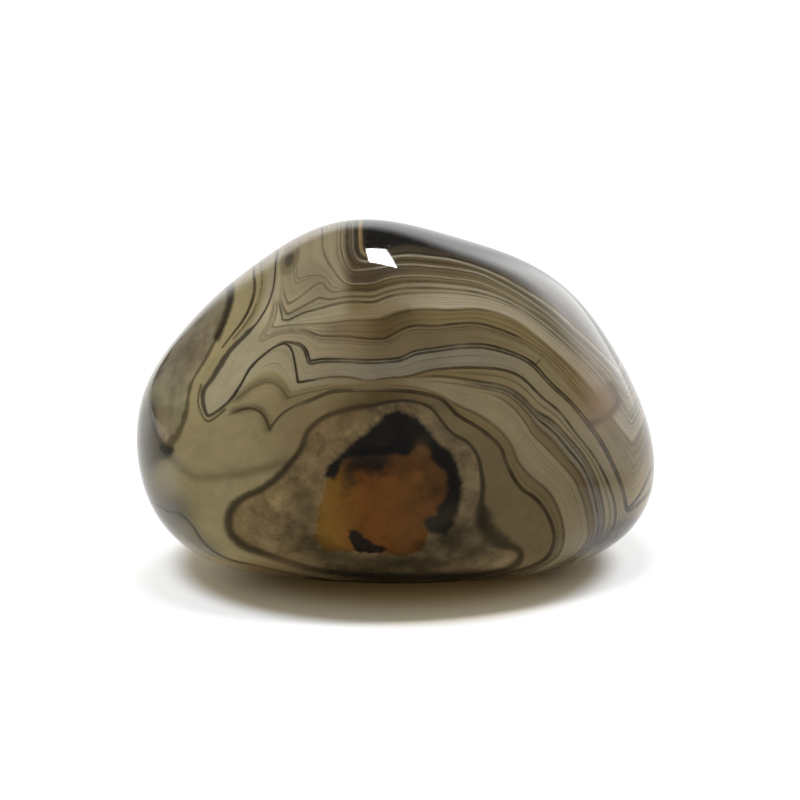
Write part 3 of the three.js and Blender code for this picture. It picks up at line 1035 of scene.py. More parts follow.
        # The shade, glow and rust layers: soft spots of the stone, together with painted shade, painted
        # light and a painted reflection edge.
        bloom_fade = np.exp(-back * self.bloom_fade)
        for name, blooms in (("shade", self.shade), ("glow", self.glow), ("rust", self.rust)):
            layers[name] = sum(bloom.strengths(places) for bloom in blooms) * bloom_fade
        for name, values in layers.items():
            layer = mesh.attributes.new(name, "FLOAT", "POINT")
            layer.data.foreach_set("value", values.astype(np.float32))

    def _drifted(self, places: np.ndarray, back: np.ndarray) -> np.ndarray:
        """Lets the bands wander towards the middle of the back.

        Args:
            places: Places on the plane, one row each.
            back: How far round the back each lies.
        Returns:
            The places, moved by up to about the drift.
        """
        u, v = places.T
        right = np.sin(self.drift_right[0] * v + self.drift_start) + np.sin(self.drift_right[1] * u)
        up = np.cos(self.drift_up[0] * u - self.drift_bend * np.sin(self.drift_up[1] * v))
        return places + self.drift * (back**2)[:, None] * np.stack([right, up], 1)

    def _levels(
        self, distances: np.ndarray, back: np.ndarray, rise: np.ndarray
    ) -> tuple[np.ndarray, np.ndarray]:
        """Levels between the seams, from 0 on the heart's edge.

        Args:
            distances: The distance to each seam, one row for each seam.
            back: How far round the back each point lies.
            rise: How far the level rises with it.
        Returns:
            Each point's level, and the millimetres from one level to the next.
        """
        last = len(distances) - 1
        passed = (distances > 0).sum(0) - 1
        lower = np.clip(passed, 0, last - 1)
        rows = np.arange(distances.shape[1])
        near, far = np.abs(distances[lower, rows]), np.abs(distances[lower + 1, rows])
        pitch = near + far + 1e-9
        level = lower + near / pitch
        inside, outside = passed < 0, passed >= last
        level = np.where(inside, distances[0] / self.heart_pitch, level)
        level = np.where(outside, last + distances[last] / self.core_pitch, level) + rise
        level = np.where(level > self.fold_level, 2 * self.fold_level - level, level)
        pitch = np.where(inside, self.heart_pitch, np.where(outside, self.core_pitch, pitch))
        steepness = self.back_power * self.back_rise * np.sqrt(back) / self.back_depth
        return level, 1 / np.sqrt(1 / np.maximum(pitch, self.least_pitch) ** 2 + steepness**2)


# ----------------------------------------------------------------------------------- the stone's finish


class Ink(Enum):
    """The kinds of thin line."""

    DARK = (0.014, 0.010, 0.005)
    PALE = (0.30, 0.27, 0.19)
    GOLD = (0.30, 0.21, 0.085)


@dataclass(frozen=True)
class Line:
    """A thin line along the bands: its level, half width in millimetres, and stretch along X."""

    level: float
    half_width: float
    strength: float
    ink: Ink = Ink.DARK
    start: float | None = None
    end: float | None = None
    fade: float = 3.0

    def drawn(self, gap: Wire, along: Wire, edge: float) -> Wire:
        """Draws the line.

        Args:
            gap: Millimetres from the line's middle.
            along: X, in millimetres.
            edge: Half the width of its soft edge.
        Returns:
            How strongly it shows.
        """
        shown = gap.above(self.half_width + edge, self.half_width - edge) * self.strength
        if self.start is not None:
            shown = shown * along.above(self.start - self.fade, self.start + self.fade)
        if self.end is not None:
            shown = shown * along.above(self.end + self.fade, self.end - self.fade)
        return shown


LINES = (
    Line(1.0, 0.24, 0.85, start=-11.0, fade=1.5),
    Line(1.0, 0.15, 0.85, end=-11.0, fade=1.5),
    Line(1.45, 0.07, 0.3, start=4.0),
    Line(2.0, 0.15, 0.55, start=5.0),
    Line(2.0, 0.1, 0.4, end=5.0),
    Line(2.75, 0.06, 0.3, start=12.0),
    Line(3.0, 0.1, 0.5, start=10.0),
    Line(3.75, 0.12, 0.5, start=4.0),
    Line(4.4, 0.16, 0.75, start=8.0),
    Line(4.8, 0.1, 0.5, start=12.0),
    Line(5.1, 0.17, 0.75, start=3.0),
    Line(5.55, 0.1, 0.5, start=6.0),
    Line(5.95, 0.16, 0.85, start=3.0),
    Line(6.0, 0.14, 0.7, end=4.0),
    Line(6.84, 0.14, 0.85, start=-13.2, fade=0.6),
    Line(7.0, 0.14, 0.92, start=-13.2, fade=0.6),
    Line(7.3, 0.05, 0.25, start=8.0),
    Line(7.72, 0.07, 0.4),
    Line(7.84, 0.08, 0.5),
    Line(8.02, 0.08, 0.6, end=-11.0, fade=1.0),
    Line(8.02, 0.15, 0.85, start=-11.0, fade=1.0, end=14.0),
    Line(8.02, 0.12, 0.45, start=12.0),
    Line(8.35, 0.08, 0.4),
    Line(8.65, 0.07, 0.3),
    Line(8.76, 0.12, 0.4, start=12.0),
    Line(8.93, 0.12, 0.6, end=12.0),
    Line(9.3, 0.05, 0.2),
    Line(9.55, 0.05, 0.15),
    Line(9.75, 0.06, 0.3),
    Line(10.03, 0.14, 0.75, end=2.0),
    Line(10.1, 0.09, 0.4, start=2.0),
    Line(10.5, 0.14, 0.6),
    Line(11.05, 0.13, 0.5),
    Line(11.3, 0.07, 0.4),
    Line(11.78, 0.12, 0.5),
    Line(12.45, 0.08, 0.4),
    Line(12.83, 0.12, 0.6),
    Line(13.5, 0.2, 0.7, end=-3.5, fade=1.0),
    Line(13.5, 0.14, 0.45, start=-3.0, end=8.0),
    Line(13.5, 0.1, 0.4, start=8.0),
    Line(14.35, 0.14, 0.6),
    Line(14.8, 0.06, 0.4),
    Line(10.25, 0.08, 0.25, Ink.PALE),
    Line(10.75, 0.08, 0.25, Ink.PALE),
    Line(11.93, 0.09, 0.6, Ink.PALE),
    Line(12.97, 0.11, 0.8, Ink.PALE, start=-5.2, fade=1.0),
    Line(12.97, 0.08, 0.4, Ink.PALE, end=-5.2, fade=1.0),
    Line(14.1, 0.13, 0.95, Ink.PALE, start=-4.6, fade=0.8),
    Line(14.1, 0.09, 0.4, Ink.PALE, end=-4.6, fade=0.8),
    Line(14.72, 0.2, 0.85, Ink.GOLD, end=-3.6, fade=0.6),
)


class Tone(Enum):
    """The stone's colors, as they look in plain light."""

    CHALK = (0.295, 0.255, 0.16)
    CREAM = (0.315, 0.265, 0.18)
    BUTTER = (0.27, 0.222, 0.115)
    STRAW = (0.25, 0.207, 0.127)
    SAND = (0.205, 0.164, 0.094)
    OCHRE = (0.178, 0.133, 0.066)
    PUTTY = (0.165, 0.141, 0.097)
    HAZEL = (0.19, 0.146, 0.073)
    OLIVE = (0.172, 0.128, 0.058)
    KHAKI = (0.153, 0.113, 0.052)
    TAN = (0.132, 0.098, 0.05)
    UMBER = (0.108, 0.078, 0.036)
    BISTRE = (0.08, 0.055, 0.021)
    SEPIA = (0.052, 0.040, 0.025)
    JET = (0.010, 0.009, 0.007)


@dataclass(frozen=True)
class Band:
    """A band between two seams, with its tones from the left end to the right end."""

    name: str
    tones: tuple[Tone, Tone, Tone, Tone, Tone]


# Where along X each of a band's tones is pure, in the low bands and in the high ones.
LOW_PLACES = (-18.0, -10.0, -1.5, 5.5, 20.0)
HIGH_PLACES = (-18.0, -6.8, -4.8, 5.5, 20.0)
BANDS = (
    Band("mantle", (Tone.BUTTER, Tone.HAZEL, Tone.BISTRE, Tone.TAN, Tone.TAN)),
    Band("under_brown", (Tone.BUTTER, Tone.HAZEL, Tone.TAN, Tone.KHAKI, Tone.TAN)),
    Band("under_thread", (Tone.BUTTER, Tone.HAZEL, Tone.TAN, Tone.SAND, Tone.SAND)),
    Band("under_cord", (Tone.CHALK, Tone.STRAW, Tone.TAN, Tone.SAND, Tone.TAN)),
    Band("under_rope", (Tone.CHALK, Tone.STRAW, Tone.TAN, Tone.SAND, Tone.PUTTY)),
    Band("under_ledge", (Tone.CHALK, Tone.STRAW, Tone.UMBER, Tone.KHAKI, Tone.SAND)),
    Band("ledge", (Tone.CHALK, Tone.STRAW, Tone.PUTTY, Tone.PUTTY, Tone.SAND)),
    Band("under_brow", (Tone.CHALK, Tone.STRAW, Tone.TAN, Tone.TAN, Tone.HAZEL)),
    Band("brow", (Tone.CHALK, Tone.CHALK, Tone.BISTRE, Tone.KHAKI, Tone.OLIVE)),
    Band("cream", (Tone.CHALK, Tone.CHALK, Tone.OCHRE, Tone.CREAM, Tone.CREAM)),
    Band("over_shelf", (Tone.STRAW, Tone.STRAW, Tone.KHAKI, Tone.STRAW, Tone.CREAM)),
    Band("step", (Tone.STRAW, Tone.STRAW, Tone.BISTRE, Tone.OCHRE, Tone.STRAW)),
    Band("low_pale", (Tone.STRAW, Tone.STRAW, Tone.SEPIA, Tone.TAN, Tone.STRAW)),
    Band("middle_pale", (Tone.STRAW, Tone.SAND, Tone.SEPIA, Tone.UMBER, Tone.PUTTY)),
    Band("top_pale", (Tone.SAND, Tone.OCHRE, Tone.SEPIA, Tone.SEPIA, Tone.TAN)),
    Band("core", (Tone.TAN, Tone.BISTRE, Tone.JET, Tone.JET, Tone.SEPIA)),
)


class Stain(Enum):
    """The colors of the islands, the heart and the soft spots. The arc color also draws painted reflection
    edges, and the rust color also tints painted warm light and part of a painted reflection edge.
    """

    OVAL_LOW = (0.29, 0.215, 0.13)
    OVAL_MIDDLE = (0.215, 0.192, 0.112)
    OVAL_TOP = (0.185, 0.15, 0.092)
    OVAL_RIM = (0.055, 0.042, 0.02)
    EYE_DISC = (0.13, 0.107, 0.06)
    EYE_MIDDLE = (0.06, 0.052, 0.034)
    ARC = (0.05, 0.037, 0.017)
    HEART_LEFT = (0.17, 0.122, 0.058)
    HEART_RIGHT = (0.125, 0.092, 0.05)
    HEART_RIM = (0.026, 0.02, 0.01)
    AMBER_YELLOW = (0.18, 0.097, 0.019)
    AMBER_ORANGE = (0.122, 0.047, 0.0105)
    AMBER_DUSK = (0.108, 0.048, 0.014)
    HAZE = (0.023, 0.0155, 0.0105)
    CAP_LOW = (0.024, 0.021, 0.0145)
    CAP_TOP = (0.0075, 0.0075, 0.0073)
    BLOTCH = (0.010, 0.0095, 0.008)
    RUST = (0.19, 0.11, 0.045)


@dataclass(frozen=True)
class Grain:
    """A cloudy noise in the stone: its features for each millimetre, and which one it is."""

    scale: float
    seed: float
    detail: float = 2.0
    bend: float = 0.0

    def read(self, place: Wire) -> Wire:
        """Reads the noise.

        Args:
            place: Where, in millimetres.
        Returns:
            Values around 0, mostly within -0.3 to 0.3.
        """
        shape = {"Scale": self.scale, "Detail": self.detail, "Distortion": self.bend}
        inputs = {"Vector": place, "W": self.seed, **shape}
        return place.bench.wire("ShaderNodeTexNoise", {"noise_dimensions": "4D"}, inputs) - 0.5


@dataclass(frozen=True)
class Veil:
    """How a stain comes in over a distance: where it starts, where it's whole, and what it covers."""

    start: float
    whole: float
    cover: float = 1.0

    def over(self, distance: Wire) -> Wire:
        """How much of the stain shows at a distance."""
        return distance.above(self.start, self.whole) * self.cover


class Site:
    """The place that a shader works at, and the stone's layers there."""

    def __init__(self, bench: Bench) -> None:
        """Reads the place.

        Args:
            bench: The material's bench.
        """
        self.bench = bench
        self.place = bench.scale(bench.wire("ShaderNodeTexCoord", None, None, "Object"), 1 / MM)
        self.along, _, self.height = bench.split(self.place)

    def layer(self, name: str) -> Wire:
        """One of the stone's attributes."""
        return self.bench.wire("ShaderNodeAttribute", {"attribute_name": name}, None, "Fac")

    def lay(self, share: Wire | float, under: Any, over: Any) -> Wire:
        """Lays a color or a named one over another."""
        under, over = (color.value if isinstance(color, Enum) else color for color in (under, over))
        return self.bench.mix(share, under, over)


class Layer(Protocol):
    """A part of the finish."""

    def lay(self, site: Site, color: Wire | None) -> Wire:
        """Lays the part over the color so far."""


@dataclass(frozen=True)
class BandTones:
    """The bands' own colors, with fine stripes and threads that follow them."""

    seam_softness: float = 0.12
    high_bands: Veil = Veil(8.8, 9.8)
    stripes: Grain = Grain(1.0, 3.0, 3.0)
    stripe_stretch: Point = (9.0, 0.06)
    calm_strength: float = 0.15
    striped: Veil = Veil(0.7, 1.3, 0.35)
    threads: Grain = Grain(1.0, 4.0, 1.0)
    thread_stretch: Point = (13.0, 0.04)
    thread_edge: Veil = Veil(0.06, 0.2)
    thread_strength: float = 0.3
    top_threads: Veil = Veil(9.5, 11.0, 0.2)
    threaded: Veil = Veil(1.5, 2.5)
    calm_start: Veil = Veil(6.8, 7.0)
    calm_end: Veil = Veil(9.3, 9.0)
    cloud: Grain = Grain(0.25, 7.0, 3.0)
    cloud_strength: float = 0.35
    grit: Grain = Grain(3.0, 8.0, 3.0)
    grit_strength: float = 0.16
    patches: Grain = Grain(0.9, 9.0, 3.0)
    patched: Veil = Veil(1.3, 0.7, 0.35)

    def lay(self, site: Site, color: Wire | None) -> Wire:
        """Lays the bands.

        Args:
            site: Where the shader works.
            color: Nothing yet.
        Returns:
            The color.
        """
        bench, along, level = site.bench, site.along, site.layer("level")
        high = self.high_bands.over(level)
        for column, (low_place, high_place) in enumerate(zip(LOW_PLACES, HIGH_PLACES)):
            tones = self._tones(bench, level, column)
            if color is None:
                color = tones
                continue
            low_share = along.above(LOW_PLACES[column - 1], low_place)
            high_share = along.above(HIGH_PLACES[column - 1], high_place)
            color = bench.mix(low_share + high * (high_share - low_share), color, tones)
        return bench.scale(color, self._unevenness(site, level) * (1.0 - self._thread_shade(site, level)))

    def _tones(self, bench: Bench, level: Wire, column: int) -> Wire:
        """The bands' tones at one of their places.

        Args:
            bench: The material's bench.
            level: The level between the seams.
            column: Which of the places.
        Returns:
            The color.
        """
        reach = float(len(BANDS))
        stops = []
        for number, band in enumerate(BANDS):
            ends = (number + self.seam_softness, number + 1 - self.seam_softness)
            stops += [(at / reach, band.tones[column].value) for at in ends]
        return bench.wire("ShaderNodeValToRGB", {"stops": stops[1:-1]}, {0: level / reach})

    def _unevenness(self, site: Site, level: Wire) -> Wire:
        """Stripes along the bands, clouds, patches and grit.

        Args:
            site: Where the shader works.
            level: The level between the seams.
        Returns:
            A factor around 1.
        """
        stretch, drift = self.stripe_stretch
        stripes = self.stripes.read(site.bench.join(level * stretch, site.along * drift))
        stripes = stripes * (self.calm_strength + self.striped.over(level))
        cloud = self.cloud.read(site.place) * self.cloud_strength
        patches = self.patches.read(site.place) * self.patched.over(level)
        return 1.0 + stripes + cloud + patches + self.grit.read(site.place) * self.grit_strength

    def _thread_shade(self, site: Site, level: Wire) -> Wire:
        """Fine dark threads in the bands, though not in the calm ones over the finger.

        Args:
            site: Where the shader works.
            level: The level between the seams.
        Returns:
            How much they darken.
        """
        stretch, drift = self.thread_stretch
        threads = self.threads.read(site.bench.join(level * stretch, site.along * drift))
        calm = self.calm_start.over(level) * self.calm_end.over(level)
        strength = self.thread_strength + self.top_threads.over(level)
        return self.thread_edge.over(threads) * self.threaded.over(level) * (1.0 - calm) * strength


@dataclass(frozen=True)
class ThinLines:
    """The thin lines: between their seams on the broad face, and along their levels on the back."""

    edge: float = 0.06
    wobble: Grain = Grain(1.6, 11.0)
    wobble_reach: float = 0.12
    fading: Grain = Grain(0.35, 12.0)
    fading_strength: float = 1.2
    mean_strength: float = 0.85
    low_room: Veil = Veil(0.9, 1.7)
    high_room: Veil = Veil(1.0, 2.0)
    low_top: float = 6.5
    high_top: float = 11.5
    open_pitch: Veil = Veil(0.1, 0.3)
    back_start: Veil = Veil(0.0, 0.01)

    def lay(self, site: Site, color: Wire) -> Wire:
        """Lays the lines.

        Args:
            site: Where the shader works.
            color: The color so far.
        Returns:
            The color.
        """
        level, pitch = site.layer("level"), site.layer("pitch")
        wobble = self.wobble.read(site.place) * self.wobble_reach
        strength = self.mean_strength + self.fading.read(site.place) * self.fading_strength
        strength = strength * self.open_pitch.over(pitch)
        low_room = self.low_room.over(site.layer("low_spread"))
        high_room = self.high_room.over(site.layer("high_spread"))
        seams = [site.layer(seam.name) for seam in BAND_SEAMS]
        behind = self.back_start.over(site.layer("back"))
        for ink in Ink:
            mask = None
            for line in (line for line in LINES if line.ink is ink):
                lower, share = int(line.level), line.level % 1.0
                gap = abs(seams[lower] * (1.0 - share) + seams[lower + 1] * share)
                gap = gap + behind * (abs(level - line.level) * pitch - gap) + wobble
                shown = line.drawn(gap, site.along, self.edge)
                if line.level < self.low_top:
                    shown = shown * low_room
                elif line.level < self.high_top:
                    shown = shown * high_room
                mask = shown if mask is None else mask.math("MAXIMUM", shown)
            color = site.lay(mask * strength, color, ink)
        return color


@dataclass(frozen=True)
class Islands:
    """The finger's outline, the oval at the left end, the eye, and the drawn lines, among them two painted
    reflection edges.
    """

    fringe: Grain = Grain(1.1, 21.0, 3.0)
    mottle: Grain = Grain(0.5, 23.0, 4.0, 0.5)
    finger: Veil = Veil(1.5, 0.5, 0.8)
    finger_end: Veil = Veil(-8.5, -10.5)
    oval: Veil = Veil(0.15, -0.15)
    oval_middle: Veil = Veil(18.0, 22.5)
    oval_top: Veil = Veil(22.5, 27.0)
    oval_rim: Veil = Veil(1.6, 0.4, 0.75)
    eye_disc: Veil = Veil(2.1, 1.6, 0.6)
    eye_middle: Veil = Veil(1.3, 0.5, 0.85)
    strand: Veil = Veil(1.5, 0.4, 0.75)
    oval_mottling: Point = (1.6, 0.3)
    rim_fray: float = 1.6
    eye_fray: float = 0.5
    arc_and_reflection_edge_fray: float = 0.8
    strand_fray: float = 0.4

    def lay(self, site: Site, color: Wire) -> Wire:
        """Lays the islands.

        Args:
            site: Where the shader works.
            color: The color so far.
        Returns:
            The color.
        """
        fringe = self.fringe.read(site.place)
        outline = self.finger.over(abs(site.layer("finger")) + fringe)
        reach = self.finger_end.over(site.along) * site.layer("front")
        color = site.lay(outline * reach, color, Ink.DARK)

        filling = site.lay(self.oval_middle.over(site.height), Stain.OVAL_LOW, Stain.OVAL_MIDDLE)
        filling = site.lay(self.oval_top.over(site.height), filling, Stain.OVAL_TOP)
        tone = 1.0 + self.mottle.read(site.place) * self.oval_mottling[0] + fringe * self.oval_mottling[1]
        filling = site.bench.scale(filling, tone)
        color = site.lay(self.oval.over(site.layer("oval")), color, filling)
        rim = self.oval_rim.over(abs(site.layer("oval_rim")) + fringe * self.rim_fray)
        color = site.lay(rim, color, Stain.OVAL_RIM)

        eye = site.layer("eye") + fringe * self.eye_fray
        color = site.lay(self.eye_disc.over(eye), color, Stain.EYE_DISC)
        color = site.lay(self.eye_middle.over(eye), color, Stain.EYE_MIDDLE)
        # Arcs: dark arcs of the stone and two painted reflection edges.
        color = site.lay(site.layer("arc") * (1.0 + fringe * self.arc_and_reflection_edge_fray), color, Stain.ARC)
        strand = site.layer("strand") + fringe * self.strand_fray
        return site.lay(self.strand.over(strand), color, Ink.DARK)


@dataclass(frozen=True)
class Heart:
    """The brown heart with its rim, the amber patch, and the black cap and blotch."""

    moss: Grain = Grain(0.45, 31.0, 6.0, 0.8)
    fine: Grain = Grain(1.8, 32.0, 4.0, 0.3)
    filling: Veil = Veil(0.3, -0.3)
    right_side: Veil = Veil(-8.0, 8.0)
    rim: Veil = Veil(1.7, 0.3, 0.85)
    amber: Veil = Veil(0.35, -0.35)
    orange: Veil = Veil(-9.5, -3.0)
    dusk: Veil = Veil(-3.0, 3.0)
    haze: Veil = Veil(3.2, 0.9, 0.95)
    haze_left: Veil = Veil(-6.8, -4.8)
    haze_bottom: Veil = Veil(12.5, 14.5)
    haze_thinning: Veil = Veil(-2.0, 0.5, 0.6)
    cap: Veil = Veil(0.35, -0.35, 0.97)
    cap_top: Veil = Veil(11.5, 14.0)
    blotch: Veil = Veil(0.3, -0.1, 0.95)
    brown_mottling: Point = (1.9, 0.8)
    rim_fray: Point = (0.0, 0.8)
    amber_fray: Point = (1.4, 0.8)
    amber_mottling: Point = (0.7, 0.35)
    haze_fray: Point = (4.0, 1.5)
    cap_fray: Point = (0.9, 0.5)
    blotch_fray: Point = (1.0, 0.6)

    def lay(self, site: Site, color: Wire) -> Wire:
        """Lays the heart.

        Args:
            site: Where the shader works.
            color: The color so far.
        Returns:
            The color.
        """
        along, rim = site.along, site.layer("rim")
        moss, fine = self.moss.read(site.place), self.fine.read(site.place)

        def mossy(shares: Point) -> Wire:
            """The coarse and the fine moss, each by its share."""
            return moss * shares[0] + fine * shares[1]

        brown = site.lay(self.right_side.over(along), Stain.HEART_LEFT, Stain.HEART_RIGHT)
        brown = site.bench.scale(brown, mossy(self.brown_mottling) + 1.0)
        color = site.lay(self.filling.over(rim), color, brown)
        color = site.lay(self.rim.over(abs(rim + mossy(self.rim_fray))), color, Stain.HEART_RIM)

        inside = self.amber.over(site.layer("amber") + mossy(self.amber_fray))
        amber = site.lay(self.orange.over(along), Stain.AMBER_YELLOW, Stain.AMBER_ORANGE)
        amber = site.lay(self.dusk.over(along), amber, Stain.AMBER_DUSK)
        color = site.lay(inside, color, site.bench.scale(amber, mossy(self.amber_mottling) + 1.0))

        cap = site.layer("cap")
        haze = self.haze.over(cap + mossy(self.haze_fray)) * inside * self.haze_left.over(along)
        haze = haze * self.haze_bottom.over(site.height) * (1.0 - self.haze_thinning.over(along))
        color = site.lay(haze, color, Stain.HAZE)
        black = site.lay(self.cap_top.over(site.height), Stain.CAP_LOW, Stain.CAP_TOP)
        color = site.lay(self.cap.over(cap + mossy(self.cap_fray)), color, black)
        blotch = self.blotch.over(site.layer("blotch") + mossy(self.blotch_fray))
        return site.lay(blotch, color, Stain.BLOTCH)


@dataclass(frozen=True)
class SoftSpotsAndPaintedLight:
    """The soft dark, light and rusty spots of the stone, with the painted shade, painted light and painted
    reflection among them.
    """

    shade: Veil = Veil(0.0, 1.3, 0.7)
    glow_strength: float = 0.15
    rust_and_painted_light_strength: float = 0.35

    def lay(self, site: Site, color: Wire) -> Wire:
        """Lays the spots, painted shade and light among them.

        Args:
            site: Where the shader works.
            color: The color so far.
        Returns:
            The color.
        """
        # Darker where the shade layer is, painted shade among it; lighter where the glow layer is, painted
        # light among it; tinted by the rusty spots and painted warm light.
        tone = 1.0 - self.shade.over(site.layer("shade")) + site.layer("glow") * self.glow_strength
        return site.lay(site.layer("rust") * self.rust_and_painted_light_strength, site.bench.scale(color, tone), Stain.RUST)


@dataclass(frozen=True)
class Polish:
    """The worn polish: how rough it is, and its faint ripples and pits."""

    roughness: float = 0.03
    worn_roughness: float = 0.03
    pit_roughness: float = 0.12
    relief_strength: float = 0.3
    relief_depth: float = 0.00003
    ripple_share: float = 0.25
    wear: Grain = Grain(0.22, 41.0, 4.0)
    worn: Veil = Veil(-0.1, 0.25)
    pits: Grain = Grain(2.4, 42.0)
    pit_edge: Veil = Veil(0.2, 0.28)
    ripples: Grain = Grain(0.5, 43.0)

    def build(self, site: Site) -> dict[str, Wire]:
        """Makes the polish.

        Args:
            site: Where the shader works.
        Returns:
            The shader's roughness and normal.
        """
        pits = self.pit_edge.over(self.pits.read(site.place))
        worn = self.worn.over(self.wear.read(site.place))
        relief = self.ripples.read(site.place) * self.ripple_share - pits
        bump = {"Strength": self.relief_strength, "Distance": self.relief_depth, "Height": relief}
        return {
            "Roughness": self.roughness + worn * self.worn_roughness + pits * self.pit_roughness,
            "Normal": site.bench.wire("ShaderNodeBump", None, bump, "Normal"),
        }


@dataclass(frozen=True)
class AgateFinish:
    """The polished agate: its layers of color in order, the light in it, and its polish."""

    layers: tuple[Layer, ...] = (BandTones(), ThinLines(), Islands(), Heart(), SoftSpotsAndPaintedLight())
    polish: Polish = Polish()
    lift: float = 0.97
    ior: float = 1.54
    specular: float = 0.5
    scatter: float = 0.7
    scatter_reach: Color = (1.0, 0.7, 0.4)
    scatter_scale: float = 0.006

    def build(self) -> bpy.types.Material:
        """Makes the stone's material.

        Returns:
            The material.
        """
        material, bench = empty_material("banded_agate")
        site = Site(bench)
        color = None
        for layer in self.layers:
            color = layer.lay(site, color)
        shader = bench.node(
            "ShaderNodeBsdfPrincipled",
            {"subsurface_method": "RANDOM_WALK"},
            {
                "Base Color": bench.scale(color, self.lift),
                **self.polish.build(site),
                "IOR": self.ior,
                "Specular IOR Level": self.specular,
                "Subsurface Weight": self.scatter,
                "Subsurface Radius": self.scatter_reach,
                "Subsurface Scale": self.scatter_scale,
            },
        )
        bench.node("ShaderNodeOutputMaterial", None, {"Surface": shader.outputs[0]})
        return material


# -------------------------------------------------------------------------------------------- the studio


@dataclass(frozen=True)
class Lamp:
    """A rectangular light aimed at the stone. It never shows in the polish."""

    name: str
    place: Place
    size: Point
    power: float

    def build(self, aim: Vector) -> None:
        """Adds the lamp.

        Args:
            aim: What it points at.
        """
        light = bpy.data.lights.new(self.name, "AREA")
        light.shape = "RECTANGLE"
        light.size, light.size_y = self.size
        light.energy = self.power
        lamp = add_object(self.name, light)
        lamp.location = self.place
        lamp.rotation_mode = "QUATERNION"
        lamp.rotation_quaternion = (aim - lamp.location).to_track_quat("-Z", "Y")
        lamp.visible_camera = False
        lamp.visible_glossy = False


